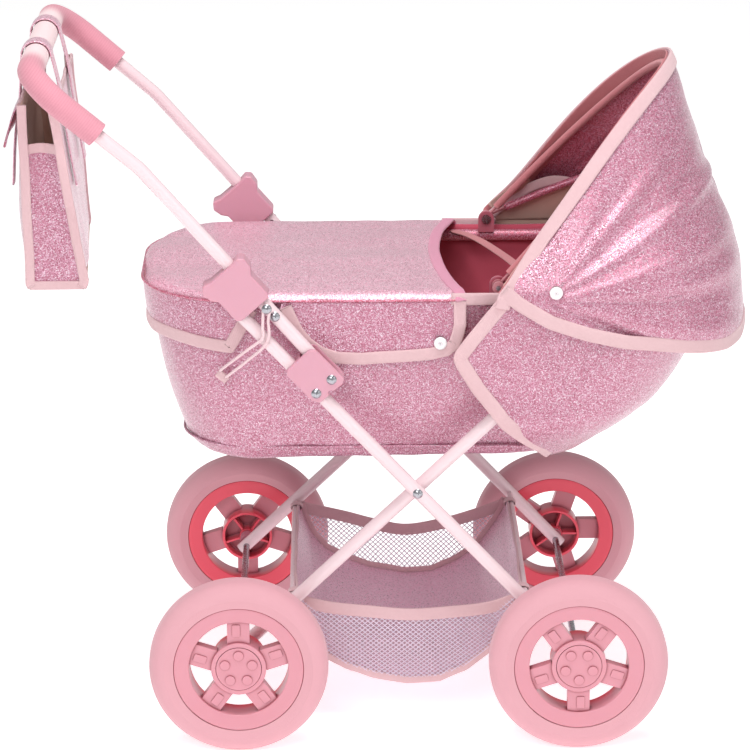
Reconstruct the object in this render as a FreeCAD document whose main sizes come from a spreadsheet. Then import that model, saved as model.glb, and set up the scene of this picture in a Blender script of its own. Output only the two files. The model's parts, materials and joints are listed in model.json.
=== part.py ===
import FreeCAD, Part
import math
import os
import Sketcher
from FreeCAD import Placement, Rotation, Vector

# Folding doll pram: X frame of round tube, swing handle, soft bassinet, hood, basket and bag.
# Millimetres. Origin on the ground midway between the axles, +X to the hood end, +Z up.

SIZES = {
    "wheel_radius": 75.0, "axle_offset": 142.25, "tyre_lane": 164.0, "tyre_width": 34.0,
    "tyre_seat_radius": 54.6, "opening_radius": 41.5, "hub_radius": 23.0, "spoke_width": 18.6,
    "axle_radius": 3.0, "running_gap": 0.05, "axle_length": 345.2,
    "head_radius": 4.2, "head_height": 2.0, "lug_radius": 7.0,
    "tube_radius": 5.5, "tube_bore": 4.7, "rod_radius": 2.5, "rivet_radius": 2.0,
    "clamp_gap": 0.2,
    "outer_lane": 140.0, "inner_lane": 128.5, "tube_pitch": 17.4,
    "cross_x": 8.0, "cross_z": 218.0, "front_tube_reach": 229.0, "rear_tube_reach": 224.0,
    "fold_x": -63.0, "fold_z": 319.0, "seat_pivot_x": -109.0, "seat_pivot_z": 372.0,
    "handle_bend_x": -217.0, "handle_bend_z": 496.0, "bar_x": -305.0, "bar_z": 571.0,
    "bar_half": 146.0, "bar_corner": 36.0, "grip_radius": 10.8, "grip_start": 0.38,
    "bracket_width": 19.0, "lock_length": 42.0,
    "rim_z": 372.0, "rim_radius": 4.0, "shell_top": 380.0, "shell_bottom": 236.0,
    "shell_half": 121.0, "shell_wall": 2.5, "shell_rear": -220.0, "shell_front": 268.0,
    "cover_top": 384.0, "cover_skirt": 331.0, "cover_front": 44.0,
    "wrap_half": 136.6, "wrap_wall": 2.0, "wrap_front": 277.0,
    "hood_x": 75.0, "hood_z": 388.0, "hood_reach": 229.0, "hood_angle": 50.0,
    "basket_half": 118.0, "bag_half": 100.0, "bag_bottom": 384.0, "bag_top": 540.0,
}

doc = FreeCAD.newDocument("doll_stroller")
sheet = doc.addObject("Spreadsheet::Sheet", "Sizes")
for row, (alias, number) in enumerate(SIZES.items(), start=1):
    sheet.set("A%d" % row, alias)
    sheet.set("B%d" % row, str(number))
    sheet.setAlias("B%d" % row, alias)
doc.recompute()

subparts = []
SIDES = {"left": 1, "right": -1}


def size(alias):
    return float(sheet.get(alias))


# ---------- builders ----------

def keep(part, label):
    part.Label = label
    subparts.append(part)
    return part


def body(label):
    return keep(doc.addObject("PartDesign::Body", label), label)


def sketch(owner, plane, offset=0.0):
    made = owner.newObject("Sketcher::SketchObject", "Sketch")
    face = [item for item in owner.Origin.OriginFeatures if item.Role == plane][0]
    made.AttachmentSupport = [(face, "")]
    made.MapMode = "FlatFace"
    made.AttachmentOffset = Placement(Vector(0, 0, offset), Rotation())
    return made


def add_circle(made, centre, radius, formula=None):
    made.addGeometry(Part.Circle(Vector(centre[0], centre[1], 0), Vector(0, 0, 1), radius))
    if formula:
        index = made.addConstraint(Sketcher.Constraint("Radius", made.GeometryCount - 1, radius))
        made.setExpression("Constraints[%d]" % index, formula)


def add_outline(made, points, rounding=0.0):
    # Closed outline, each corner rounded by a tangent arc where there is room for it.
    corners = [Vector(x, y, 0) for x, y in points]
    count = len(corners)
    cuts = []
    for index, corner in enumerate(corners):
        back = corners[index - 1] - corner
        ahead = corners[(index + 1) % count] - corner
        half = back.getAngle(ahead) / 2
        reach = min(rounding / math.tan(half), 0.45 * min(back.Length, ahead.Length))
        radius = reach * math.tan(half)
        back.normalize()
        ahead.normalize()
        middle = corner + (back + ahead).normalize() * (radius / math.sin(half) - radius)
        cuts.append((corner + back * reach, middle, corner + ahead * reach))
    for index, (begin, middle, finish) in enumerate(cuts):
        if rounding:
            made.addGeometry(Part.Arc(begin, middle, finish))
        made.addGeometry(Part.LineSegment(finish, cuts[(index + 1) % count][0]))


def soften_sides(owner, feature, radius):
    # Round the edges of the two faces that look across the pram.
    doc.recompute()
    names = []
    for index, face in enumerate(feature.Shape.Faces, start=1):
        if abs(face.normalAt(0, 0).y) > 0.99:
            names.append("Face%d" % index)
    fillet = owner.newObject("PartDesign::Fillet", "Fillet")
    fillet.Base = (feature, names)
    fillet.Radius = radius
    return fillet


def pad(owner, made, length, formula=None, midplane=True):
    feature = owner.newObject("PartDesign::Pad", "Pad")
    feature.Profile = made
    feature.Length = length
    feature.Midplane = midplane
    if formula:
        feature.setExpression("Length", formula)
    return feature


def pocket(owner, made, length, midplane=True):
    feature = owner.newObject("PartDesign::Pocket", "Pocket")
    feature.Profile = made
    feature.Length = length
    feature.Midplane = midplane
    return feature


def solid(label, shape):
    feature = doc.addObject("Part::Feature", label)
    feature.Shape = shape
    return keep(feature, label)


def along_y(x, z, y0, y1, radius):
    return Part.makeCylinder(radius, y1 - y0, Vector(x, y0, z), Vector(0, 1, 0))


def rivet_head(x, z, face, way):
    # Domed head standing on a plane across the pram, its crown towards +Y or -Y.
    radius = size("head_radius")
    height = size("head_height")
    ball = (radius ** 2 + height ** 2) / (2 * height)
    lowest = math.degrees(math.asin(1 - height / ball))
    centre = Vector(x, face - way * (ball - height), z)
    return Part.makeSphere(ball, centre, Vector(0, way, 0), lowest, 90, 360)


def rod(label, x, z, radius_name, half):
    # A round bar across the pram, bound to the sheet.
    bar = doc.addObject("Part::Cylinder", label)
    bar.setExpression("Radius", "Sizes." + radius_name)
    bar.Height = 2 * half
    bar.Placement = Placement(Vector(x, -half, z), Rotation(Vector(1, 0, 0), -90))
    return keep(bar, label)


def mirrored_pair(shape):
    # The same solid on the left and the right of the pram.
    return Part.makeCompound([shape, shape.mirror(Vector(0, 0, 0), Vector(0, 1, 0))])


# ---------- directions of the frame ----------

CROSS = Vector(size("cross_x"), 0, size("cross_z"))
FRONT_AXLE = Vector(size("axle_offset"), 0, size("wheel_radius"))
REAR_AXLE = Vector(-size("axle_offset"), 0, size("wheel_radius"))
FOLD = Vector(size("fold_x"), 0, size("fold_z"))
SEAT_PIVOT = Vector(size("seat_pivot_x"), 0, size("seat_pivot_z"))
BEND = Vector(size("handle_bend_x"), 0, size("handle_bend_z"))
BAR = Vector(size("bar_x"), 0, size("bar_z"))
HOOD_AXIS = Vector(size("hood_x"), 0, size("hood_z"))

front_way = (CROSS - FRONT_AXLE).normalize()
rear_way = (CROSS - REAR_AXLE).normalize()
handle_way = (BEND - FOLD).normalize()
TIP = 7.0


def line_placement(start, way):
    # Local Z runs along the tube and local Y stays across the pram.
    return Placement(start, Rotation(Vector(0, 1, 0), math.degrees(math.atan2(way.x, way.z))))


def frame_tube(label, start, way, length, lane, holes):
    # Round steel tube with cross holes at the given distances from its lower end.
    tube = body(label)
    ring = sketch(tube, "XY_Plane")
    add_circle(ring, (0, 0), size("tube_radius"), "Sizes.tube_radius")
    add_circle(ring, (0, 0), size("tube_bore"), "Sizes.tube_bore")
    pad(tube, ring, length, midplane=False)
    for distance, radius in holes:
        drill = sketch(tube, "XZ_Plane")
        add_circle(drill, (0, distance), radius)
        pocket(tube, drill, 40)
    place = start - way * TIP
    place.y = lane
    tube.Placement = line_placement(place, way)
    return tube


def make_frame():
    axle = size("axle_radius")
    rivet = size("rivet_radius")
    front_length = (CROSS - FRONT_AXLE).Length + size("front_tube_reach") + TIP
    rear_length = (CROSS - REAR_AXLE).Length + size("rear_tube_reach") + TIP
    front_cross = TIP + (CROSS - FRONT_AXLE).Length
    rear_cross = TIP + (CROSS - REAR_AXLE).Length
    tie = 62.0
    base = FRONT_AXLE - front_way * TIP
    bracket_hole = (FOLD - base).dot(front_way)
    for side, sign in SIDES.items():
        frame_tube("front_frame_tube_" + side, FRONT_AXLE, front_way, front_length,
                   sign * size("outer_lane"),
                   [(TIP, axle), (TIP + tie, size("rod_radius")), (front_cross, rivet),
                    (bracket_hole, rivet + size("running_gap"))])
        frame_tube("rear_frame_tube_" + side, REAR_AXLE, rear_way, rear_length,
                   sign * size("inner_lane"),
                   [(TIP, axle), (TIP + tie, size("rod_radius")),
                    (rear_cross, rivet + size("running_gap"))])
    for name, start in (("front", FRONT_AXLE), ("rear", REAR_AXLE)):
        rod(name + "_axle", start.x, start.z, "axle_radius", size("axle_length") / 2)
    front_tie = FRONT_AXLE + front_way * tie
    rear_tie = REAR_AXLE + rear_way * tie
    rod("front_cross_rod", front_tie.x, front_tie.z, "rod_radius", size("outer_lane") + 6.4)
    rod("rear_cross_rod", rear_tie.x, rear_tie.z, "rod_radius", size("inner_lane") + 5.2)
    return front_tie, rear_tie


def make_joint_hardware():
    outer = size("outer_lane")
    inner = size("inner_lane")
    tube = size("tube_radius")
    rivet = size("rivet_radius")
    shank = along_y(CROSS.x, CROSS.z, inner - tube - 1.8, outer + tube + 1.5, rivet)
    outer_head = rivet_head(CROSS.x, CROSS.z, outer + tube, 1)
    inner_head = rivet_head(CROSS.x, CROSS.z, inner - tube - 0.3, -1)
    solid("scissor_rivets", mirrored_pair(shank.fuse([outer_head, inner_head])))
    for name, start, lane in (("front", FRONT_AXLE, outer), ("rear", REAR_AXLE, inner)):
        hub_face = size("tyre_lane") - 14.0
        sleeve = along_y(start.x, start.z, lane + tube + 0.2, hub_face - 0.5, 6.0)
        sleeve = sleeve.cut(along_y(start.x, start.z, lane, hub_face, size("axle_radius")))
        solid(name + "_axle_spacers", mirrored_pair(sleeve))
        nut = along_y(start.x, start.z, size("tyre_lane") + 6.2, size("tyre_lane") + 8.2, 6.0)
        nut = nut.cut(along_y(start.x, start.z, 0, 200, size("axle_radius")))
        solid(name + "_axle_nuts", mirrored_pair(nut))


# ---------- folding brackets and locks ----------

def bracket_frame(lane, way):
    # Local X runs up a tube from the fold and local Z from the handle tube towards the frame tube.
    angle = math.degrees(math.atan2(-way.z, way.x))
    return Placement(Vector(FOLD.x, lane, FOLD.z), Rotation(Vector(0, 1, 0), angle))


def make_bracket(side, sign):
    pitch = size("tube_pitch")
    part = body("pivot_bracket_" + side)
    outline = sketch(part, "XZ_Plane")
    add_outline(outline, [(-7, -8), (27, -8), (31, -4), (31, 21), (28, 24.4), (-2, 24.4),
                          (-8, 21), (-8.5, 11), (-5, 8.5), (-8.5, 5), (-9, -4)], 2.6)
    soften_sides(part, pad(part, outline, size("bracket_width"), "Sizes.bracket_width"), 1.2)
    slot = sketch(part, "XZ_Plane")
    add_outline(slot, [(-12, -12), (36, -12), (36, 6.4), (-12, 6.4)])
    pocket(part, slot, 2 * size("tube_radius") + 0.8)
    bore = sketch(part, "YZ_Plane", -12)
    add_circle(bore, (0, pitch), size("tube_radius") + size("clamp_gap"))
    pocket(part, bore, 200)
    for height in (0.0, pitch):
        hole = sketch(part, "XZ_Plane")
        add_circle(hole, (0, height), size("rivet_radius") + size("running_gap"))
        pocket(part, hole, 40)
    part.Placement = bracket_frame(sign * size("outer_lane"), front_way)


def make_lock(side, sign):
    pitch = size("tube_pitch")
    length = size("lock_length")
    start = 86.0
    end = start + length
    part = body("lock_slider_" + side)
    outline = sketch(part, "XZ_Plane")
    add_outline(outline, [(start, -7), (start + 3, -9.5), (end - 18, -9.5), (end - 13, -13.5),
                          (end - 4, -14.5), (end, -10.5), (end - 1, -4), (end - 1, 20),
                          (end + 1, 27), (end - 5, 31.5), (end - 13, 29.5), (end - 18, 25.5),
                          (start + 3, 25.5), (start, 22)], 3.0)
    soften_sides(part, pad(part, outline, size("bracket_width"), "Sizes.bracket_width"), 1.6)
    bore = sketch(part, "YZ_Plane")
    add_circle(bore, (0, 0), size("tube_radius") + size("running_gap"))
    pocket(part, bore, 600)
    mouth = sketch(part, "XZ_Plane")
    add_outline(mouth, [(start - 5, pitch - 6.0), (end - 8, pitch - 6.0), (end - 8, pitch + 20),
                        (start - 5, pitch + 20)])
    pocket(part, mouth, 2 * size("tube_radius") + 0.8)
    part.Placement = bracket_frame(sign * size("outer_lane"), handle_way)


def make_brackets():
    outer = size("outer_lane")
    half = size("bracket_width") / 2
    rivet = size("rivet_radius")
    low = FOLD + Vector(-front_way.z, 0, front_way.x) * size("tube_pitch")
    for side, sign in SIDES.items():
        make_bracket(side, sign)
        make_lock(side, sign)
    for label, at in (("bracket_rivets", low), ("handle_pivot_rivets", FOLD)):
        shank = along_y(at.x, at.z, outer - half - 1.4, outer + half + 1.4, rivet)
        heads = [rivet_head(at.x, at.z, outer + half, 1),
                 rivet_head(at.x, at.z, outer - half, -1)]
        solid(label, mirrored_pair(shank.fuse(heads)))


# ---------- handle ----------

def bent_wire(points, radii):
    # Straight runs joined by tangent arcs.
    edges = []
    last = points[0]
    for index in range(1, len(points) - 1):
        corner = points[index]
        back = (points[index - 1] - corner).normalize()
        ahead = (points[index + 1] - corner).normalize()
        half = back.getAngle(ahead) / 2
        reach = radii[index - 1] / math.tan(half)
        begin = corner + back * reach
        finish = corner + ahead * reach
        inward = (back + ahead).normalize()
        middle = corner + inward * (radii[index - 1] / math.sin(half) - radii[index - 1])
        edges.append(Part.LineSegment(last, begin).toShape())
        edges.append(Part.Arc(begin, middle, finish).toShape())
        last = finish
    edges.append(Part.LineSegment(last, points[-1]).toShape())
    return Part.Wire(edges)


def pipe(wire, radius):
    edge = wire.Edges[0]
    start = edge.valueAt(edge.FirstParameter)
    way = edge.tangentAt(edge.FirstParameter)
    ring = Part.Wire([Part.Circle(start, way, radius).toShape()])
    return wire.makePipeShell([ring], True, True)


def across(point):
    return Vector(point.x, -point.y, point.z)


def make_handle():
    lane = size("outer_lane")
    half = size("bar_half")
    bend = Vector(BEND.x, lane, BEND.z)
    corner = Vector(BAR.x, half, BAR.z)
    grip_end = bend + (corner - bend) * size("grip_start")
    low = Vector(FOLD.x, lane, FOLD.z)
    path = bent_wire([across(low), across(bend), across(corner), corner, bend, low],
                     [60, size("bar_corner"), size("bar_corner"), 60])
    bar = pipe(path, size("tube_radius"))
    for end in (low, across(low)):
        bar = bar.fuse(Part.makeSphere(size("tube_radius"), end))
    rivet = size("rivet_radius")
    for point, gap in ((FOLD, size("running_gap")), (SEAT_PIVOT, 0), (stud_point(), 0)):
        bar = bar.cut(along_y(point.x, point.z, -200, 200, rivet + gap))
    solid("handle_tube", bar)
    grip_path = bent_wire([across(grip_end), across(corner), corner, grip_end],
                          [size("bar_corner"), size("bar_corner")])
    grip = pipe(grip_path, size("grip_radius")).cut(pipe(path, size("tube_radius")))
    solid("handle_grip", grip)
    outer = lane + size("tube_radius")
    inner = size("shell_half")
    seat = along_y(SEAT_PIVOT.x, SEAT_PIVOT.z, inner - 13.4, outer + 1.5, rivet)
    seat = seat.fuse([rivet_head(SEAT_PIVOT.x, SEAT_PIVOT.z, outer, 1),
                      rivet_head(SEAT_PIVOT.x, SEAT_PIVOT.z, inner - 12, -1),
                      along_y(SEAT_PIVOT.x, SEAT_PIVOT.z, inner + 5, lane - 5.5, 4.0)])
    solid("seat_pivot_rivets", mirrored_pair(seat))
    stud = stud_point()
    post = along_y(stud.x, stud.z, lane - 6.5, outer + 5, rivet)
    post = post.fuse(rivet_head(stud.x, stud.z, outer + 3.8, 1))
    solid("loop_studs", mirrored_pair(post))


def stud_point():
    return SEAT_PIVOT + handle_way * 10.0


# ---------- wheels ----------

def make_wheel(place, side, x, start):
    sign = SIDES[side]
    name = place + "_" + side
    width = size("tyre_width")
    seat = size("tyre_seat_radius")
    outer = size("wheel_radius")
    turn = Rotation(Vector(0, 1, 0), start)
    if sign < 0:
        turn = turn.multiply(Rotation(Vector(0, 0, 1), 180))
    stand = Placement(Vector(x, sign * size("tyre_lane"), outer), turn)

    tyre = body("wheel_tyre_" + name)
    profile = sketch(tyre, "YZ_Plane")
    half = width / 2
    crown = 13.0
    shoulder = outer - crown
    bow = crown * (1 - math.sqrt(0.5))
    profile.addGeometry(Part.LineSegment(Vector(-half + 2.5, seat, 0), Vector(half - 2.5, seat, 0)))
    profile.addGeometry(Part.LineSegment(Vector(half - 2.5, seat, 0), Vector(half, shoulder, 0)))
    profile.addGeometry(Part.Arc(Vector(half, shoulder, 0), Vector(half - bow, outer - bow, 0),
                                 Vector(half - crown, outer, 0)))
    profile.addGeometry(Part.LineSegment(Vector(half - crown, outer, 0), Vector(crown - half, outer, 0)))
    profile.addGeometry(Part.Arc(Vector(crown - half, outer, 0), Vector(bow - half, outer - bow, 0),
                                 Vector(-half, shoulder, 0)))
    profile.addGeometry(Part.LineSegment(Vector(-half, shoulder, 0), Vector(-half + 2.5, seat, 0)))
    revolve(tyre, profile)
    tyre.Placement = stand

    hub = body("wheel_hub_" + name)
    inner = size("opening_radius")
    core = size("hub_radius")
    bore = size("axle_radius") + size("running_gap")
    face = half - 5
    cup = sketch(hub, "YZ_Plane")
    add_outline(cup, [(-13, core), (face, core), (face, core - 4), (face - 3, core - 4),
                      (face - 3, core - 6), (face - 6, core - 6), (face - 6, bore), (-13.5, bore),
                      (-13.5, 7), (face - 10, 7), (face - 10, core - 2.4), (-13, core - 2.4)], 0.6)
    revolve(hub, cup)
    wide = size("spoke_width") / 2
    spoke = sketch(hub, "XZ_Plane", -(face - 2.5))
    add_outline(spoke, [(-wide, core - 1.5), (wide, core - 1.5), (wide, inner + 2), (-wide, inner + 2)])
    arm = pad(hub, spoke, 9, midplane=False)
    repeat_round(hub, [arm], 5)
    mark = sketch(hub, "XZ_Plane", -(face - 2.5))
    add_outline(mark, [(-1.5, core + 5), (5, core + 5), (5, inner - 3), (-1.5, inner - 3)], 1.0)
    ridge = pad(hub, mark, 0.8, midplane=False)
    ridge.Reversed = True
    repeat_round(hub, [ridge], 5)
    rib = sketch(hub, "XZ_Plane", 12)
    add_outline(rib, [(-0.9, 6.5), (0.9, 6.5), (0.9, core - 1), (-0.9, core - 1)])
    web = pad(hub, rib, 16, midplane=False)
    web.Reversed = True
    repeat_round(hub, [web], 5)
    rim = sketch(hub, "YZ_Plane")
    add_outline(rim, [(-face - 2, seat), (-face - 2, seat - 3), (-face, inner), (face, inner),
                      (face + 2, seat - 3), (face + 2, seat)], 1.0)
    revolve(hub, rim)
    hub.Placement = stand

    cap = body("wheel_cap_" + name)
    disc = sketch(cap, "XZ_Plane", -(face - 2.9))
    add_circle(disc, (0, 0), core - 4.2)
    pad(cap, disc, 3.1, midplane=False).Reversed = True
    boss = sketch(cap, "XZ_Plane", -(face + 0.2))
    add_circle(boss, (0, 12), 4.0)
    bump = pad(cap, boss, 1.2, midplane=False)
    bump.Reversed = True
    repeat_round(cap, [bump], 5)
    cap.Placement = stand


def revolve(owner, profile):
    feature = owner.newObject("PartDesign::Revolution", "Revolution")
    feature.Profile = profile
    axis = [item for item in owner.Origin.OriginFeatures if item.Role == "Y_Axis"][0]
    feature.ReferenceAxis = (axis, [""])
    feature.Angle = 360
    return feature


def repeat_round(owner, features, count):
    doc.recompute()
    pattern = owner.newObject("PartDesign::PolarPattern", "PolarPattern")
    pattern.Originals = features
    axis = [item for item in owner.Origin.OriginFeatures if item.Role == "Y_Axis"][0]
    pattern.Axis = (axis, [""])
    pattern.Angle = 360
    pattern.Occurrences = count
    owner.Tip = pattern
    return pattern


def make_wheels():
    offset = size("axle_offset")
    for place, side, x, start in (("front", "left", offset, 90), ("front", "right", offset, 180),
                                  ("rear", "left", -offset, 180), ("rear", "right", -offset, 0)):
        make_wheel(place, side, x, start)


# ---------- bassinet ----------

def oval(rear, front, half, rear_corner, front_corner, z):
    # Rounded rectangle in plan, as a closed wire.
    s = math.sqrt(0.5)
    a = rear_corner
    b = front_corner
    corners = [(front - b, half - b, b, 1, 1), (rear + a, half - a, a, -1, 1),
               (rear + a, -half + a, a, -1, -1), (front - b, -half + b, b, 1, -1)]
    arcs = []
    for cx, cy, r, ex, ey in corners:
        first = Vector(cx + ex * r, cy, z) if ex * ey > 0 else Vector(cx, cy + ey * r, z)
        last = Vector(cx, cy + ey * r, z) if ex * ey > 0 else Vector(cx + ex * r, cy, z)
        middle = Vector(cx + ex * r * s, cy + ey * r * s, z)
        arcs.append((first, middle, last))
    edges = []
    for index, (first, middle, last) in enumerate(arcs):
        edges.append(Part.Arc(first, middle, last).toShape())
        following = arcs[(index + 1) % 4][0]
        edges.append(Part.LineSegment(last, following).toShape())
    return Part.Wire(edges)


SHELL_SECTIONS = [
    # height share, rear, front, half width, rear corner, front corner
    (0.0, -184.0, 150.0, 104.0, 62.0, 66.0),
    (0.42, -204.0, 220.0, 115.0, 76.0, 82.0),
    (1.0, -220.0, 268.0, 121.0, 88.0, 96.0),
]


def shell_solid(grow, low, high):
    # Boat-shaped block between two heights, every wall moved out by grow.
    bottom = size("shell_bottom")
    top = size("shell_top")
    wires = []
    for share, rear, front, half, a, b in SHELL_SECTIONS:
        wires.append(oval(rear - grow, front + grow, half + grow, a + grow, b + grow,
                          bottom + share * (top - bottom)))
    block = Part.makeLoft(wires, True, True)
    slab = Part.makeBox(800, 400, high - low, Vector(-400, -200, low))
    return block.common(slab)


def wrap_solid(grow):
    bottom = size("shell_bottom")
    wires = []
    for share, front, half, corner in ((0.0, 152.5, 108.0, 68.0), (0.22, 199.0, 136.0, 86.0),
                                       (0.45, 230.0, 136.4, 92.0),
                                       (1.0, size("wrap_front"), size("wrap_half"), 96.0)):
        z = bottom + share * (size("shell_top") + 3 - bottom)
        wires.append(oval(-60 - grow, front + grow, half + grow, 30, corner + grow, z))
    return Part.makeLoft(wires, True, True)


def side_panel(points, half):
    # A prism through the whole width, from an outline in the side view.
    face = Part.Face(Part.makePolygon([Vector(x, -half, z) for x, z in points + points[:1]]))
    return face.extrude(Vector(0, 2 * half, 0))


def make_bassinet():
    wall = size("shell_wall")
    bottom = size("shell_bottom")
    top = size("shell_top")
    shell = shell_solid(0, bottom, top).cut(shell_solid(-wall, bottom + wall, top + 1))
    pin = along_y(SEAT_PIVOT.x, SEAT_PIVOT.z, -200, 200, 4.6)
    solid("bassinet_shell", shell.cut(pin))
    board = oval(-180, 146, 100, 58, 62, 0)
    bed = Part.Face(board).extrude(Vector(0, 0, 3))
    bed.translate(Vector(0, 0, bottom + wall + 0.2))
    solid("bed_board", bed)
    pad_outline = oval(-178, 144, 98, 56, 60, 0)
    mattress = Part.Face(pad_outline).extrude(Vector(0, 0, 14))
    mattress.translate(Vector(0, 0, bottom + wall + 3.4))
    solid("mattress_pad", mattress)
    rim_path = oval(-210.8, 254.4, 113.1, 80, 85, size("rim_z"))
    edge = rim_path.Edges[0]
    ring = Part.Wire([Part.Circle(edge.valueAt(edge.FirstParameter),
                                  edge.tangentAt(edge.FirstParameter),
                                  size("rim_radius")).toShape()])
    hole = along_y(SEAT_PIVOT.x, SEAT_PIVOT.z, -200, 200,
                   size("rivet_radius") + size("running_gap"))
    solid("rim_frame", rim_path.makePipeShell([ring], True, False).cut(hole))


def make_cover():
    rear = size("shell_rear")
    front = size("cover_front")
    half = size("shell_half")
    top = size("cover_top")
    low = size("cover_skirt")
    outer = Part.Face(oval(rear - 2.0, size("shell_front"), half + 2.0, 89.0, 96, low))
    block = outer.extrude(Vector(0, 0, top - low))
    inner = Part.Face(oval(rear - 0.4, size("shell_front"), half + 0.4, 87.6, 96, low - 1))
    block = block.cut(inner.extrude(Vector(0, 0, size("shell_top") + 1.4 - low)))
    keep_side = side_panel([(rear - 9, top + 1), (rear - 9, 375), (-183, 351), (-146, 342),
                            (-136, 377.6), (-70, 377.6), (-56, 331), (26, 335), (42, 350),
                            (front, top + 1)], 160)
    block = block.common(keep_side)
    scoop = Part.makeCylinder(150, 20, Vector(front + 118, 0, top - 10), Vector(0, 0, 1))
    block = block.cut(scoop.common(Part.makeBox(200, 2 * half - 8, 40,
                                                Vector(-60, -half + 4, top - 20))))
    solid("cover", block)
    snap = along_y(27, 343, half + 2.05, half + 4.0, 5.2)
    solid("cover_snaps", mirrored_pair(snap))


def make_wrap():
    wall = size("wrap_wall")
    shape = wrap_solid(0).cut(wrap_solid(-wall))
    bottom = size("shell_bottom")
    region = side_panel([(75, 383), (38, 336), (55, 305), (76, 275), (109, 247), (116, bottom + 1.5),
                         (330, bottom + 1.5), (330, 383)], 160)
    shape = shape.common(region)
    solid("front_wrap", shape.cut(shell_solid(0.3, bottom, size("shell_top"))))


# ---------- hood ----------

HOOD_SECTIONS = [
    # angle above level, half width, reach, squareness
    (SIZES["hood_angle"], 119.5, SIZES["hood_reach"], 1.9),
    (37.0, 128.0, 209.0, 2.1),
    (22.0, 137.0, 197.0, 2.6),
    (7.0, 144.5, 206.0, 3.1),
    (-5.0, 147.5, 213.0, 3.4),
    (-17.0, 147.5, 222.0, 3.5),
]


def hood_point(angle, along, across):
    turn = math.radians(angle)
    return Vector(HOOD_AXIS.x + along * math.cos(turn), across,
                  HOOD_AXIS.z + along * math.sin(turn))


def hood_section(angle, half, reach, power, start):
    points = []
    steps = 12
    first = math.asin(min(0.5, start / reach) ** (power / 2))
    for step in range(steps + 1):
        turn = first + (math.pi - 2 * first) * step / steps
        across = math.copysign(abs(math.cos(turn)) ** (2 / power), math.cos(turn)) * half
        along = math.sin(turn) ** (2 / power) * reach
        points.append(hood_point(angle, along, across))
    curve = Part.BSplineCurve()
    curve.interpolate(points)
    return Part.Wire([curve.toShape(), Part.LineSegment(points[-1], points[0]).toShape()])


def make_hood():
    outer = [hood_section(a, w, r, p, 16) for a, w, r, p in HOOD_SECTIONS]
    first = HOOD_SECTIONS[0]
    last = HOOD_SECTIONS[-1]
    over = [(first[0] + 9, first[1], first[2] + 14, first[3])] + HOOD_SECTIONS
    over = over + [(last[0] - 9, last[1] + 1, last[2] + 4, last[3])]
    inner = [hood_section(a, w - 2.5, r - 2.5, p, 4) for a, w, r, p in over]
    canopy = Part.makeLoft(outer, True, True).cut(Part.makeLoft(inner, True, True))
    solid("hood_canopy", canopy)
    bow_wire("hood_front_bow", 48.0, 111.4, 218.0, 1.9, 2.2)
    bow_wire("hood_rear_bow", 24.0, 118.3, 188.0, 2.3, 2.2)
    pivot = along_y(HOOD_AXIS.x, HOOD_AXIS.z, 106.2, 121.5, 2.0)
    pivot = pivot.fuse(along_y(HOOD_AXIS.x, HOOD_AXIS.z, 104.8, 106.2, 4.0))
    solid("hood_pivot_pins", mirrored_pair(pivot))
    # Round-ended tab standing on the rim rod.
    lug_radius = size("lug_radius")
    foot = size("rim_z") + size("rim_radius") + 0.2
    lug = Part.makeBox(2 * lug_radius, 3.6, HOOD_AXIS.z - foot,
                       Vector(HOOD_AXIS.x - lug_radius, 106.2, foot))
    lug = lug.fuse(along_y(HOOD_AXIS.x, HOOD_AXIS.z, 106.2, 109.8, lug_radius)).removeSplitter()
    hole = along_y(HOOD_AXIS.x, HOOD_AXIS.z, 100, 130, 2.0)
    solid("hood_lugs", mirrored_pair(lug.cut(hole)))
    at = hood_point(4, 46, 0)
    snap = along_y(at.x, at.z, 147.0, 149.0, 5.2)
    solid("hood_snaps", mirrored_pair(snap))


def bow_wire(label, angle, half, reach, power, radius):
    # Sprung wire arch with a flat eye at each end, turning on the hood pins.
    points = []
    count = 14
    for step in range(count + 1):
        turn = 0.16 + (math.pi - 0.32) * step / count
        across = math.copysign(abs(math.cos(turn)) ** (2 / power), math.cos(turn)) * half
        points.append(hood_point(angle, math.sin(turn) ** (2 / power) * reach, across))
    points[0].y = half
    points[-1].y = -half
    curve = Part.BSplineCurve()
    curve.interpolate(points)
    wire = Part.Wire([curve.toShape()])
    arch = pipe(wire, radius)
    eye = along_y(HOOD_AXIS.x, HOOD_AXIS.z, half - 1.4, half + 1.4, 5.0)
    start = points[0]
    link = Part.makeCylinder(1.3, (start - hood_point(angle, 3.5, half)).Length,
                             hood_point(angle, 3.5, half), start - hood_point(angle, 3.5, half))
    hole = along_y(HOOD_AXIS.x, HOOD_AXIS.z, -200, 200, 2.05)
    ends = eye.fuse([link, Part.makeSphere(radius, start)])
    ends = [ends, ends.mirror(Vector(0, 0, 0), Vector(0, 1, 0))]
    solid(label, arch.fuse(ends).cut(hole))


# ---------- basket and bag ----------

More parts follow.
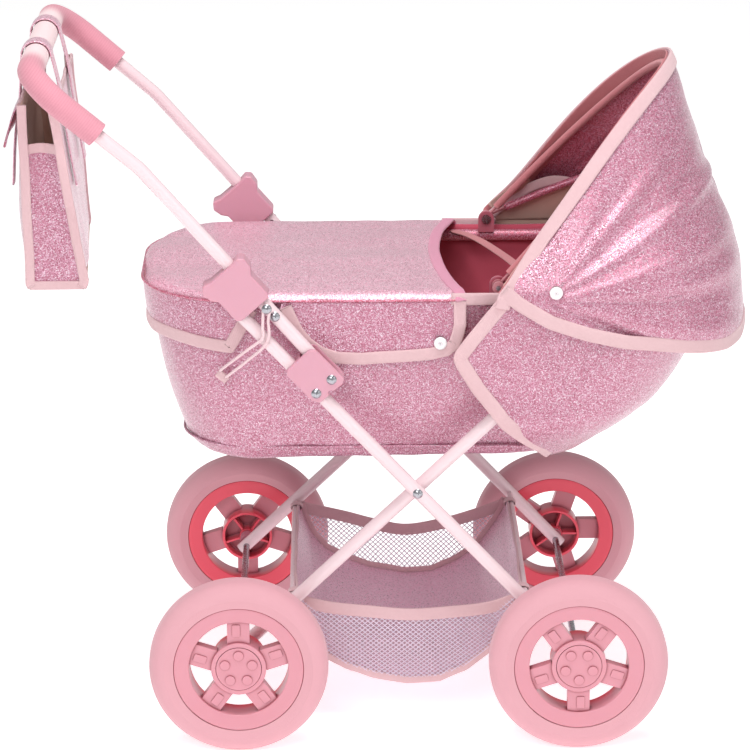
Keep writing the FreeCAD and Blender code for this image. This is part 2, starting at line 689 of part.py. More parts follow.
def make_basket(front_tie, rear_tie):
    half = size("basket_half")
    front = (front_tie.x - 4, front_tie.z)
    rear = (rear_tie.x + 4, rear_tie.z)
    low = 32.0
    outer = Part.Arc(Vector(rear[0], 0, rear[1]), Vector(0, 0, low), Vector(front[0], 0, front[1]))
    inner = Part.Arc(Vector(rear[0] + 2.4, 0, rear[1]), Vector(0, 0, low + 2),
                     Vector(front[0] - 2.4, 0, front[1]))
    edges = [outer.toShape(), inner.toShape(),
             Part.LineSegment(Vector(rear[0], 0, rear[1]), Vector(rear[0] + 2.4, 0, rear[1])).toShape(),
             Part.LineSegment(Vector(front[0], 0, front[1]),
                              Vector(front[0] - 2.4, 0, front[1])).toShape()]
    sling = Part.Face(Part.Wire(Part.__sortEdges__(edges))).extrude(Vector(0, 2 * half, 0))
    sling.translate(Vector(0, -half, 0))
    solid("basket_sling", sling)
    chord = [Part.LineSegment(Vector(rear[0] + 2.6, 0, rear[1] - 1),
                              Vector(front[0] - 2.6, 0, front[1] - 1)).toShape(),
             Part.Arc(Vector(rear[0] + 2.6, 0, rear[1] - 1), Vector(0, 0, low + 2.3),
                      Vector(front[0] - 2.6, 0, front[1] - 1)).toShape()]
    panel = Part.Face(Part.Wire(Part.__sortEdges__(chord)))
    for side, sign in SIDES.items():
        mesh = panel.extrude(Vector(0, 1.6, 0))
        mesh.translate(Vector(0, half - 1.6 if sign > 0 else -half, 0))
        solid("basket_mesh_" + side, mesh)


def make_bag():
    half = size("bag_half")
    low = size("bag_bottom")
    top = size("bag_top")
    faces = [(-318, top), (-315, low + 6), (-311, low), (-268, low), (-263, low + 8), (-287, top)]
    hollow = [(-316.2, top + 5), (-313.2, low + 3), (-265.4, low + 3), (-288.8, top + 5)]
    block = side_panel(faces, half).cut(side_panel(hollow, half - 1.8))
    gusset_top = 505
    notch = side_panel([(-314.5, top + 5), (-314.5, gusset_top), (-284.5, gusset_top), (-290, top + 5)],
                       half + 5)
    middle = Part.makeBox(200, 2 * half - 3.6, 200, Vector(-400, -half + 1.8, low))
    solid("bag_body", block.cut(notch.cut(middle)))
    straps = []
    bar = BAR
    ring = size("grip_radius") + 0.7
    for centre in (-48, 48):
        outer = strap_outline(bar, ring + 1.6, -321.0, -284.6, top - 40)
        inner = strap_outline(bar, ring, -319.2, -285.6, top - 60)
        loop = outer.cut(inner)
        loop = loop.cut(side_panel([(-318.2, top), (-315.3, low + 6), (-311, low), (-262.7, low + 8),
                                    (-286.7, top)], 120))
        loop.translate(Vector(0, centre, 0))
        straps.append(loop)
    solid("bag_straps", Part.makeCompound(straps))


def strap_outline(bar, radius, back, front, low):
    width = 20.0
    legs = side_panel([(back, low), (bar.x - radius, bar.z), (bar.x + radius, bar.z), (front, low)],
                      width / 2)
    return legs.fuse(along_y(bar.x, bar.z, -width / 2, width / 2, radius))


def make_loops():
    lane = size("outer_lane") + size("tube_radius") + 2.6
    stud = stud_point()
    points = [Vector(stud.x - 3.2, 0, stud.z - 2), Vector(-118, 0, 350), Vector(-152, 0, 317)]
    for side, sign in SIDES.items():
        run = []
        for point, reach in zip(points, (lane, lane + 1.5, size("shell_half") + 3.0)):
            run.append(Vector(point.x, sign * reach, point.z))
        solid("elastic_loop_" + side, pipe(bent_wire(run, [9]), 1.3))


front_tie, rear_tie = make_frame()
make_joint_hardware()
make_brackets()
make_handle()
make_wheels()
make_bassinet()
make_cover()
make_wrap()
make_hood()
make_basket(front_tie, rear_tie)
make_bag()
make_loops()
doc.recompute()

failed = [item.Label for item in doc.Objects if "Invalid" in item.State or "Error" in item.State]
if failed:
    raise RuntimeError("failed objects: %s" % failed)
os.makedirs("parts", exist_ok=True)
for part in subparts:
    shape = part.Shape
    if shape.isNull() or not shape.isValid() or not shape.Solids:
        raise RuntimeError("bad shape: " + part.Label)
    shape.exportStep("parts/%s.step" % part.Label)
box = Part.makeCompound([part.Shape for part in subparts]).BoundBox
print(len(subparts), "sub-parts", [round(v, 1) for v in (box.XMin, box.XMax, box.YMin, box.YMax,
                                                         box.ZMin, box.ZMax)])
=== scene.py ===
import json
import math

import bmesh
import bpy
import numpy as np
from mathutils import Matrix, Vector, noise


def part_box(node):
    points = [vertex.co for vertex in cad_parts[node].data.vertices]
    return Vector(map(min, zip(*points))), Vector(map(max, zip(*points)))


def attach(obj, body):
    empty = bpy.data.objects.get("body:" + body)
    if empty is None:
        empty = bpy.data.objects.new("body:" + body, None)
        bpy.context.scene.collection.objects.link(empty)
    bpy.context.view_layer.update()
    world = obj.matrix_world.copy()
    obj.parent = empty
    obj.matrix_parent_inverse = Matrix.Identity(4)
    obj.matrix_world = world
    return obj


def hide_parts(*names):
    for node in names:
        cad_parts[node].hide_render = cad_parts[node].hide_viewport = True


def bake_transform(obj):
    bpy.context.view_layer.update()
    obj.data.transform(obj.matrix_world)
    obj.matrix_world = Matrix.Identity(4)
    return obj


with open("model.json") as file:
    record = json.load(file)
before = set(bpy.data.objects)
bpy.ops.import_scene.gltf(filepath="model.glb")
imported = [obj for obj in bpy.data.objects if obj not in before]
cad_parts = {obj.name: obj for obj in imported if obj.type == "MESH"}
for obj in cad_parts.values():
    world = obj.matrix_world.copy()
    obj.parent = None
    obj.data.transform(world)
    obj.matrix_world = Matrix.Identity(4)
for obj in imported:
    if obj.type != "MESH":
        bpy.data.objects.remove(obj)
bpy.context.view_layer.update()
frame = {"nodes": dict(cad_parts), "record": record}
nodes = frame["nodes"]

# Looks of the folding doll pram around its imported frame. Helper sizes are millimetres; MM turns
# them into Blender's metres. +X is the hood end, -Y the near side, +Z up.
MM = 0.001
NEAR, FAR = -1, 1
SIDES = {"right": NEAR, "left": FAR}


def corners(node):
    """A CAD node's lowest and highest corners, in millimetres."""
    low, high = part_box(node)
    return np.array(low) / MM, np.array(high) / MM


# ---------- lines and grids of points ----------

def unit(vectors):
    lengths = np.linalg.norm(vectors, axis=-1, keepdims=True)
    return vectors / np.maximum(lengths, 1e-9)


def evenly(line, count, closed=False):
    """The line resampled to count points at even steps."""
    if closed:
        line = np.vstack([line, line[:1]])
    run = np.r_[0, np.cumsum(np.linalg.norm(np.diff(line, axis=0), axis=1))]
    stops = np.linspace(0, run[-1], count + 1)[:-1] if closed else np.linspace(0, run[-1], count)
    return np.column_stack([np.interp(stops, run, line[:, axis]) for axis in range(line.shape[1])])


def evenly_facing(path, facing, count):
    """A path and its outward directions resampled together."""
    both = evenly(np.hstack([path, facing * 0.001]), count)
    return both[:, :3], unit(both[:, 3:])


def through(points, count):
    """A smooth line through a few chosen points."""
    points = np.asarray(points, float)
    line = np.vstack([2 * points[0] - points[1], points, 2 * points[-1] - points[-2]])
    step = np.linspace(0, 1, 24, endpoint=False)[:, None]
    runs = []
    for a, b, c, d in zip(line, line[1:], line[2:], line[3:]):
        runs.append(0.5 * (2 * b + (c - a) * step + (2 * a - 5 * b + 4 * c - d) * step ** 2
                           + (3 * b - a - 3 * c + d) * step ** 3))
    runs.append(points[-1:])
    return evenly(np.vstack(runs), count)


def lookup(table, place):
    """A row of a small table, smoothly interpolated on its first column."""
    fine = through(table, 160)
    order = np.argsort(fine[:, 0])
    return [np.interp(place, fine[order, 0], fine[order, column])
            for column in range(1, fine.shape[1])]


def arc(centre_x, centre_y, radius, first, last, steps=20):
    turn = np.radians(np.linspace(first, last, steps))
    return np.column_stack([centre_x + radius * np.cos(turn), centre_y + radius * np.sin(turn)])


def normals(rows):
    """The surface normal at each point of a grid."""
    down = np.gradient(rows, axis=0)
    over = np.gradient(rows, axis=1)
    return unit(np.cross(down, over))


def ripple(size, stretch=(1, 1, 1), seed=0.0):
    """Smooth noise over space, from -1 to 1, with folds of about that size."""
    scale = np.array(stretch, float) / size

    def field(point):
        return noise.noise(Vector(point * scale) + Vector((seed, seed * 1.7, seed * 0.3)))
    return field


def ruffled(rows, height, field):
    """The grid pushed along its normals by a field of folds."""
    shift = np.array([[field(point) for point in line] for line in rows])
    return rows + normals(rows) * (height * shift)[..., None]


def rumpled(rows, *folds):
    """The grid ruffled by one field of folds after another, each (height, size, stretch, seed)."""
    for height, size, stretch, seed in folds:
        rows = ruffled(np.asarray(rows), height, ripple(size, stretch, seed))
    return rows


def side_edges(rows):
    """Each side's name, sign and edge line of a grid that runs from the near side to the far."""
    for side, sign in SIDES.items():
        yield side, sign, rows[:, 0] if sign == NEAR else rows[:, -1]


# ---------- meshes ----------

def add_mesh(name, points, faces, uv=None):
    mesh = bpy.data.meshes.new(name)
    mesh.from_pydata((np.asarray(points) * MM).tolist(), [], faces)
    if uv is not None:
        layer = mesh.uv_layers.new(name="cloth")
        layer.data.foreach_set("uv", (np.asarray(uv) * MM).ravel())
    mesh.polygons.foreach_set("use_smooth", [True] * len(mesh.polygons))
    mesh.update()
    made = bpy.data.objects.new(name, mesh)
    bpy.context.scene.collection.objects.link(made)
    return made


def cloth(name, rows, loop_rows=False, loop_columns=False, outward=None, caps=False):
    """A quad mesh over a grid of points, with the cloth's own lengths as its UV map.
    outward is a point that the cloth's front faces away from."""
    rows = np.asarray(rows, float)
    if outward is not None:
        away = (normals(rows) * (rows - np.asarray(outward, float))).sum()
        if away < 0:
            rows = rows[:, ::-1]
    count = rows.shape[0] * rows.shape[1]
    index = np.arange(count).reshape(rows.shape[:2])
    wide = rows
    if loop_rows:
        index = np.vstack([index, index[:1]])
        wide = np.concatenate([wide, wide[:1]], 0)
    if loop_columns:
        index = np.hstack([index, index[:, :1]])
        wide = np.concatenate([wide, wide[:, :1]], 1)
    along = np.r_[0, np.cumsum(np.linalg.norm(np.diff(wide, axis=0), axis=2).mean(1))]
    across = np.r_[0, np.cumsum(np.linalg.norm(np.diff(wide, axis=1), axis=2).mean(0))]
    lengths = np.stack(np.meshgrid(along, across, indexing="ij"), -1)
    ring = [(slice(None, -1), slice(None, -1)), (slice(1, None), slice(None, -1)),
            (slice(1, None), slice(1, None)), (slice(None, -1), slice(1, None))]
    faces = np.stack([index[a, b] for a, b in ring], -1).reshape(-1, 4).tolist()
    uv = np.stack([lengths[a, b] for a, b in ring], 2).reshape(-1, 2)
    if caps:
        ends = [index[0, :-1][::-1].tolist(), index[-1, :-1].tolist()]
        faces += ends
        uv = np.vstack([uv, np.zeros((sum(map(len, ends)), 2))])
    return add_mesh(name, rows.reshape(-1, 3), faces, uv)


def swept(name, path, across, section, closed=False):
    """A section (offsets along across, offsets along the normal) carried along a path."""
    path = np.asarray(path, float)
    if closed:
        tangent = unit(np.roll(path, -1, 0) - np.roll(path, 1, 0))
    else:
        tangent = unit(np.gradient(path, axis=0))
    normal = unit(np.cross(tangent, across))
    across = unit(np.cross(normal, tangent))
    side, rise = section
    rows = (path[:, None, :] + side[None, :, None] * across[:, None, :]
            + rise[None, :, None] * normal[:, None, :])
    return cloth(name, rows, loop_rows=closed, loop_columns=True, caps=not closed)


def full_turn(count):
    return np.linspace(0, 2 * math.pi, count, endpoint=False)


def rounded_section(width, thick, middle=0.0):
    turn = full_turn(18)
    side = middle + width / 2 * np.sign(np.cos(turn)) * np.abs(np.cos(turn)) ** 0.5
    rise = thick / 2 * np.sign(np.sin(turn)) * np.abs(np.sin(turn)) ** 0.7
    return side, rise


def tape(name, path, facing, inside, width=11.0, thick=2.2, lap=1.4):
    """Binding tape folded over a cloth's edge. facing is the cloth's normal along the path, and
    inside is a point on the cloth's side of the edge."""
    path = np.asarray(path, float)
    facing = np.broadcast_to(facing, path.shape)
    across = unit(np.cross(facing, np.gradient(path, axis=0)))
    if (across * (np.asarray(inside, float) - path)).sum() < 0:
        across = -across
    return swept(name, path, across, rounded_section(width + lap, thick, (width - lap) / 2))


def round_cord(name, path, radius, beside=(0.0, 1.0, 0.2), closed=False):
    path = np.asarray(path, float)
    across = np.cross(np.gradient(path, axis=0), beside)
    turn = full_turn(12)
    return swept(name, path, across, (radius * np.cos(turn), radius * np.sin(turn)), closed)


def lathe(name, centre, sign, profile):
    """A small turned part standing on a side, from (radius, height) pairs."""
    turn = full_turn(36)
    rows = [np.column_stack([centre[0] + radius * np.cos(turn),
                             np.full(36, sign * (centre[1] + height)),
                             centre[2] + radius * np.sin(turn)]) for radius, height in profile]
    return cloth(name, rows, loop_columns=True, caps=True, outward=(0, 0, centre[2]))


def fit(piece, material, slot=None, ride=None, bend=None, replaces=(), thickness=0.0, inner=None):
    """Gives a piece its material and thickness, and the body it moves with; a piece given a bend is
    fixed in place and moves with no body.
    slot is not used."""
    piece.data.materials.append(material)
    if inner is not None:
        piece.data.materials.append(inner)
    if thickness:
        shell = piece.modifiers.new("thickness", "SOLIDIFY")
        shell.thickness = thickness * MM
        shell.offset = -1
        shell.material_offset = 0 if inner is None else 1
    slot or FINISH_SLOTS[material.name]
    if bend:
        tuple(bend[2])
        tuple(bend[3])
        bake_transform(piece)
    else:
        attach(piece, ride)
    if replaces:
        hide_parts(*replaces)
    return piece


def bind(name, path, facing, inside, ride=None, bend=None, finish=None, slot=None, **shape):
    """Makes a tape along an edge and fits it, in the pale binding unless told otherwise."""
    return fit(tape(name, path, facing, inside, **shape), finish or BINDING, slot, ride=ride,
               bend=bend)


# ---------- materials ----------

# metres, as the shader nodes take them
# the wheels' inner webs get painted shade: full within the first distance, gone by the second
INBOARD_SHADE_DEPTH = (0.154, 0.165)      # from the pram's middle: the wheels' webs, then their outer faces
PALE_SLEEVE = (0.078, 0.112)    # from the middle: the grip's pale part, then its ringed part
RING_PITCH = 0.0021
THREAD_PITCH, RIB_PITCH, FLAKE_SIZE = 0.7 * MM, 0.9 * MM, 0.62 * MM
# how far the painted shade in moulded plastic's grooves and corners reaches
GROOVE_SHADE_REACH = 0.004
HANDLE_WAY = (0.761, 0.0, -0.648)

def colour(red, green, blue):
    """An sRGB colour, 0 to 255, as Blender's linear RGBA."""
    def linear(value):
        value /= 255
        return value / 12.92 if value <= 0.04045 else ((value + 0.055) / 1.055) ** 2.4
    return (linear(red), linear(green), linear(blue), 1.0)


class Finish:
    """A material's node tree, with short ways to add and join nodes."""

    def __init__(self, name, base, **sockets):
        self.material = bpy.data.materials.new(name)
        self.material.use_nodes = True
        self.tree = self.material.node_tree
        self.shader = self.tree.nodes["Principled BSDF"]
        self.shader.inputs["Base Color"].default_value = base
        for socket, value in sockets.items():
            self.shader.inputs[socket.replace("_", " ")].default_value = value

    def add(self, kind, inputs=None, **settings):
        node = self.tree.nodes.new(kind)
        for name, value in settings.items():
            setattr(node, name, value)
        for socket, value in (inputs or {}).items():
            if isinstance(value, bpy.types.NodeSocket):
                self.tree.links.new(value, node.inputs[socket])
            else:
                node.inputs[socket].default_value = value
        return node

    def join(self, output, socket):
        self.tree.links.new(output, self.shader.inputs[socket])

    def place(self):
        return self.add("ShaderNodeTexCoord").outputs["Object"]

    def from_middle(self):
        """How far a point lies from the pram's middle plane, in metres."""
        across = self.add("ShaderNodeSeparateXYZ", {"Vector": self.place()}).outputs[1]
        return self.maths("ABSOLUTE", across)

    def groove_shade_mask(self, reach):
        """Falls from 1 to 0 in grooves and corners narrower than reach, where shade is painted into
        a colour.
        """
        near = self.add("ShaderNodeAmbientOcclusion", {"Distance": reach}).outputs["AO"]
        return self.add("ShaderNodeMapRange", {"Value": near, "From Min": 0.45,
                                               "From Max": 0.92}).outputs["Result"]

    def cloth_lengths(self):
        return self.add("ShaderNodeUVMap", uv_map="cloth").outputs["UV"]

    def noise(self, scale, where=None, detail=3.0):
        where = self.place() if where is None else where
        return self.add("ShaderNodeTexNoise", {"Vector": where, "Scale": scale,
                                               "Detail": detail}).outputs["Fac"]

    def maths(self, operation, first, second=0.0):
        return self.add("ShaderNodeMath", {0: first, 1: second}, operation=operation).outputs[0]

    def vector(self, operation, inputs):
        return self.add("ShaderNodeVectorMath", inputs, operation=operation).outputs[0]

    def ramp(self, factor, *stops):
        node = self.add("ShaderNodeValToRGB", {"Fac": factor})
        scale = node.color_ramp
        while len(scale.elements) < len(stops):
            scale.elements.new(0.5)
        for element, (position, shade) in zip(scale.elements, stops):
            element.position = position
            element.color = shade
        return node.outputs["Color"]

    def range(self, factor, low, high):
        return self.add("ShaderNodeMapRange", {"Value": factor, "To Min": low,
                                               "To Max": high}).outputs["Result"]

    def mix(self, factor, first, second, mode="MIX"):
        node = self.add("ShaderNodeMix", data_type="RGBA", blend_type=mode)
        for place, value in ((0, factor), (6, first), (7, second)):
            if isinstance(value, bpy.types.NodeSocket):
                self.tree.links.new(value, node.inputs[place])
            else:
                node.inputs[place].default_value = value
        return node.outputs[2]

    def vary(self, factor, share, first, second, mode="MIX"):
        """The first colour, taken by a varying factor up to that share of the way to the second."""
        return self.mix(self.range(factor, 0.0, share), first, second, mode)

    def fade(self, value, start, end):
        """Falls smoothly from 1 to 0 while the value goes from start to end."""
        return self.add("ShaderNodeMapRange", {"Value": value, "From Min": start, "From Max": end,
                                               "To Min": 1.0, "To Max": 0.0},
                        interpolation_type="SMOOTHSTEP").outputs["Result"]

    def bump(self, height, strength, distance):
        node = self.add("ShaderNodeBump", {"Height": height, "Strength": strength,
                                           "Distance": distance})
        self.join(node.outputs["Normal"], "Normal")


def glitter(name, deep, middle, pale, glint, share=0.5, tilt=0.42):
    """Woven cloth coated with fine glitter: each flake has its own tint, tilt and gloss."""
    made = Finish(name, middle, Sheen_Weight=0.15, Sheen_Roughness=0.4, Coat_Weight=0.7,
                  Coat_Roughness=0.36)
    cells = made.add("ShaderNodeTexVoronoi", {"Vector": made.place(), "Scale": 1 / FLAKE_SIZE})
    chance = made.add("ShaderNodeSeparateColor", {"Color": cells.outputs["Color"]}).outputs
    tint = made.ramp(chance[0], (0.0, deep), (0.42, middle), (0.8, pale), (1.0, glint))
    drift = made.noise(9.0, detail=2.0)
    tint = made.vary(drift, 0.42, tint, deep)
    weave = made.noise(1500.0, detail=0.0)
    tint = made.vary(weave, 0.25, tint, deep, mode="MULTIPLY")
    made.join(tint, "Base Color")
    shiny = made.maths("GREATER_THAN", chance[1], 1 - share)
    made.join(made.maths("MULTIPLY", shiny, 0.6), "Metallic")
    made.join(made.range(chance[2], 0.22, 0.5), "Roughness")
    lean = made.vector("SUBTRACT", {0: cells.outputs["Color"], 1: (0.5, 0.5, 0.5)})
    lean = made.vector("SCALE", {0: lean, "Scale": tilt})
    face = made.add("ShaderNodeNewGeometry").outputs["Normal"]
    lean = made.vector("ADD", {0: face, 1: lean})
    lean = made.vector("NORMALIZE", {0: lean})
    made.join(lean, "Normal")
    return made.material


def grosgrain(name, base, shade):
    """Ribbed woven tape: ribs run across it."""
    made = Finish(name, base, Roughness=0.85, Sheen_Weight=0.3, Specular_IOR_Level=0.25)
    lengths = made.cloth_lengths()
    parts = made.add("ShaderNodeSeparateXYZ", {"Vector": lengths}).outputs
    rib = made.maths("SINE", made.maths("MULTIPLY", parts[0], 2 * math.pi / RIB_PITCH))
    tone = made.noise(420.0, detail=4.0)
    soft = made.noise(30.0, detail=2.0)
    tint = made.vary(tone, 0.5, base, shade)
    tint = made.vary(soft, 0.45, tint, shade)
    made.join(tint, "Base Color")
    height = made.maths("ADD", rib, made.maths("MULTIPLY", tone, 1.4))
    made.bump(height, 0.5, 0.0002)
    return made.material


def plain_weave(name, base, shade):
    """Plain woven lining: crossed threads, slightly uneven."""
    made = Finish(name, base, Roughness=0.9, Sheen_Weight=0.25, Specular_IOR_Level=0.2)
    parts = made.add("ShaderNodeSeparateXYZ", {"Vector": made.cloth_lengths()}).outputs
    turns = 2 * math.pi / THREAD_PITCH
    warp = made.maths("SINE", made.maths("MULTIPLY", parts[0], turns))
    weft = made.maths("SINE", made.maths("MULTIPLY", parts[1], turns))
    crossing = made.maths("MULTIPLY", warp, weft)
    uneven = made.noise(60.0, detail=4.0)
    tint = made.vary(crossing, 0.3, base, shade)
    tint = made.vary(uneven, 0.5, tint, shade)
    made.join(tint, "Base Color")
    made.bump(crossing, 0.35, 0.00015)
    return made.material


def moulded(name, base, shade, roughness=0.38, inboard_shade=None):
    """Satin moulded plastic: faint flow marks, a fine grain and painted shade in grooves and
    corners. The inboard colour is painted shade on the wheels' thinner inner webs, towards the
    pram's middle."""
    made = Finish(name, base, Specular_IOR_Level=0.5, Coat_Weight=0.12, Coat_Roughness=0.25,
                  Subsurface_Weight=0.06, Subsurface_Scale=0.004)
    flow = made.noise(22.0, detail=3.0)
    tint = made.vary(flow, 0.5, base, shade)
    # painted shade: the wheels' inner webs turn deeper red towards the pram's middle
    if inboard_shade is not None:
        deep = made.fade(made.from_middle(), *INBOARD_SHADE_DEPTH)
        tint = made.mix(deep, tint, inboard_shade)
    # painted shade: grooves, recesses and corners of the plastic darkened as if less light reached
    # them
    groove_shade_tint = made.mix(1.0, tint, colour(196, 150, 158), mode="MULTIPLY")
    made.join(made.mix(made.groove_shade_mask(GROOVE_SHADE_REACH), groove_shade_tint, tint), "Base Color")
    speck = made.noise(900.0, detail=2.0)
    made.join(made.range(flow, roughness - 0.05, roughness + 0.1), "Roughness")
    made.bump(speck, 0.12, 0.0001)
    return made.material


def foam(name, base, shade, pale=None):
    """Closed-cell foam: matt, with fine pores. pale tints the middle of the handle's sleeve, and
    the rest of that sleeve has fine rings."""
    made = Finish(name, base, Roughness=0.72, Sheen_Weight=0.2, Specular_IOR_Level=0.3)
    pores = made.add("ShaderNodeTexVoronoi", {"Vector": made.place(), "Scale": 900.0})
    height = pores.outputs["Distance"]
    patch = made.noise(35.0)
    tint = made.vary(patch, 0.55, base, shade)
    if pale is not None:
        middle = made.fade(made.from_middle(), *PALE_SLEEVE)
        tint = made.mix(middle, tint, pale)
        along = made.add("ShaderNodeVectorMath", {0: made.place(), 1: HANDLE_WAY},
                         operation="DOT_PRODUCT").outputs["Value"]
        rings = made.maths("SINE", made.maths("MULTIPLY", along, 2 * math.pi / RING_PITCH))
        rings = made.maths("MULTIPLY", rings, made.maths("SUBTRACT", 1.0, middle))
        tint = made.vary(rings, 0.16, tint, shade, mode="MULTIPLY")
        height = made.maths("ADD", made.maths("MULTIPLY", rings, 0.35), height)
    made.join(tint, "Base Color")
    made.bump(height, 0.35, 0.0003)
    return made.material


def powder_coat(name, base, shade):
    """Glossy powder coat on round tube: a faint orange peel and small colour drift."""
    made = Finish(name, base, Roughness=0.3, Coat_Weight=0.5, Coat_Roughness=0.12,
                  Specular_IOR_Level=0.5)
    drift = made.noise(14.0)
    made.join(made.vary(drift, 0.55, base, shade), "Base Color")
    peel = made.noise(420.0, detail=1.0)
    made.join(made.range(peel, 0.24, 0.36), "Roughness")
    made.bump(peel, 0.1, 0.0002)
    return made.material


def bright_metal(name, base, roughness=0.16):
    """Polished steel with faint turning marks."""
    made = Finish(name, base, Metallic=1.0)
    marks = made.noise(700.0, detail=2.0)
    made.join(made.range(marks, roughness - 0.06, roughness + 0.1), "Roughness")
    made.bump(marks, 0.06, 0.0001)
    return made.material


def net_thread(name, base, shade):
    """Knitted polyester thread."""
    made = Finish(name, base, Roughness=0.6, Sheen_Weight=0.3, Specular_IOR_Level=0.35)
    twist = made.noise(1800.0, detail=1.0)
    made.join(made.vary(twist, 0.6, base, shade), "Base Color")
    made.bump(twist, 0.3, 0.0002)
    return made.material


def card(name, base, shade):
    """Grey stiffener board with fine fibres."""
    made = Finish(name, base, Roughness=0.9)
    fibre = made.noise(260.0, detail=5.0)
    made.join(made.mix(fibre, base, shade), "Base Color")
    made.bump(fibre, 0.3, 0.0002)
    return made.material


GLITTER = glitter("glitter_cloth", colour(164, 84, 110), colour(194, 124, 148),
                  colour(224, 176, 200), colour(255, 246, 255))
# a lighter copy of the glitter cloth: painted light on the cover's top, the bag's front and its
# straps
GLITTER_LIT = glitter("glitter_cloth_lit", colour(214, 150, 172), colour(232, 178, 196),
                      colour(244, 206, 220), colour(254, 244, 252), share=0.4, tilt=0.36)
# lighter still: painted light that lifts the basket floor out of the shade beneath the bassinet
GLITTER_BRIGHTENED = glitter("glitter_cloth_brightened", colour(228, 174, 200), colour(242, 200, 218),
                       colour(250, 222, 236), colour(255, 248, 255), share=0.35, tilt=0.36)
# a darker copy of the glitter cloth: painted shade for the hood's inside, seams, sleeves and
# casings
GLITTER_SHADED = glitter("glitter_cloth_shaded", colour(168, 62, 86), colour(200, 96, 122),
                       colour(226, 150, 178), colour(246, 214, 236), share=0.45, tilt=0.4)
# the glitter cloth's plain reverse side, made darker as painted shade for insides that lie in shade
SHADED_BACKING = plain_weave("cloth_backing_shaded", colour(205, 92, 112), colour(176, 66, 88))
LINING = plain_weave("lining_cloth", colour(222, 188, 174), colour(202, 162, 146))
BINDING = grosgrain("binding_ribbon", colour(226, 193, 196), colour(206, 164, 170))
HEM_BAND = grosgrain("hem_band", colour(222, 154, 178), colour(206, 130, 158))
INNER_TAPE = grosgrain("inner_tape", colour(212, 176, 166), colour(188, 148, 138))
# binding tape darkened to dusty rose: painted shade for tape seen inside the hood and the bassinet
SHADED_TAPE = grosgrain("sleeve_tape_shaded", colour(206, 132, 136), colour(184, 104, 112))
TUBE = powder_coat("tube_paint", colour(232, 208, 212), colour(224, 196, 202))
PLASTIC = moulded("bracket_plastic", colour(208, 152, 168), colour(200, 142, 160))
# the wheel plastic's inboard colour is painted shade on the inner webs
WHEEL = moulded("wheel_plastic", colour(212, 144, 156), colour(204, 134, 148), roughness=0.34,
                inboard_shade=colour(230, 84, 102))
TYRE = foam("tyre_foam", colour(214, 160, 169), colour(207, 151, 161))
GRIP = foam("grip_foam", colour(216, 148, 162), colour(206, 136, 152), pale=colour(240, 212, 214))
# the hood's bows are painted the dusty rose of the shaded hood inside: painted shade
WIRE_IN_SHADE = powder_coat("bow_paint_shaded", colour(196, 126, 134), colour(184, 112, 122))
LUG = moulded("lug_plastic", colour(186, 100, 116), colour(172, 88, 106))
STEEL = bright_metal("rivet_steel", colour(168, 168, 174), roughness=0.24)
SNAP = moulded("snap_plastic", colour(244, 240, 242), colour(236, 230, 234), roughness=0.3)
NET = net_thread("net_thread", colour(240, 228, 242), colour(220, 202, 226))
ELASTIC = grosgrain("elastic_cord", colour(240, 212, 216), colour(226, 190, 196))
BOARD = card("bed_board", colour(208, 198, 192), colour(188, 178, 172))

FINISH_SLOTS = {
    finish.name: slot for slot, finishes in (
        ("glitter_fabric", (GLITTER, GLITTER_LIT, GLITTER_BRIGHTENED, GLITTER_SHADED)),
        ("binding_tape", (BINDING, INNER_TAPE, SHADED_TAPE, ELASTIC)),
        ("lining_fabric", (SHADED_BACKING, LINING)),
        ("snap_plastic", (SNAP,)), ("mesh_fabric", (NET,)),
    ) for finish in finishes
}
NODE_FINISHES = {
    "painted_tube": TUBE, "pink_plastic": PLASTIC, "wheel_plastic": WHEEL, "tyre_foam": TYRE,
    "grip_foam": GRIP, "bright_steel": STEEL, "snap_plastic": SNAP, "board": BOARD,
    "glitter_fabric": GLITTER, "binding_tape": BINDING, "mesh_fabric": NET,
    "lining_fabric": LINING,
}


def dress_frame():
    """Each carried-over CAD node takes the detailed material of its record slot."""
    slots = {part["node"]: part["material_slot"] for part in frame["record"]["subparts"]}
    for name, node in nodes.items():
        node.data.materials.clear()
        node.data.materials.append(NODE_FINISHES[slots[name]])
    for name, finish in (("hood_front_bow", WIRE_IN_SHADE), ("hood_rear_bow", WIRE_IN_SHADE), ("hood_lugs", LUG)):
        nodes[name].data.materials[0] = finish


# ---------- bassinet shell and mattress ----------

SHELL_LOW, SHELL_HIGH = corners("bassinet_shell")
SHELL_PLAN = [
    # share of the height, rear, front, half width, rear corner, front corner
    (0.0, -184.0, 150.0, 104.0, 62.0, 66.0),
    (0.42, -204.0, 220.0, 115.0, 76.0, 82.0),
    (1.0, SHELL_LOW[0], SHELL_HIGH[0], SHELL_HIGH[1], 88.0, 96.0),
]


RING = 160


def plan(rear, front, half, rear_corner, front_corner, count=RING):
    """A rounded rectangle seen from above, from the middle of its rear edge round the near side."""
    ring = np.vstack([
        [(rear, 0.0)],
        arc(rear + rear_corner, rear_corner - half, rear_corner, 180, 270),
        arc(front - front_corner, front_corner - half, front_corner, 270, 360),
        arc(front - front_corner, half - front_corner, front_corner, 0, 90),
        arc(rear + rear_corner, half - rear_corner, rear_corner, 90, 180),
    ])
    return evenly(ring, count, closed=True)


def level(outline, height):
    return np.column_stack([outline, np.full(len(outline), height)])


def shell_ring(share, grow=0.0):
    rear, front, half, rear_corner, front_corner = lookup(SHELL_PLAN, share)
    return plan(rear - grow, front + grow, half + grow, rear_corner + grow, front_corner + grow)


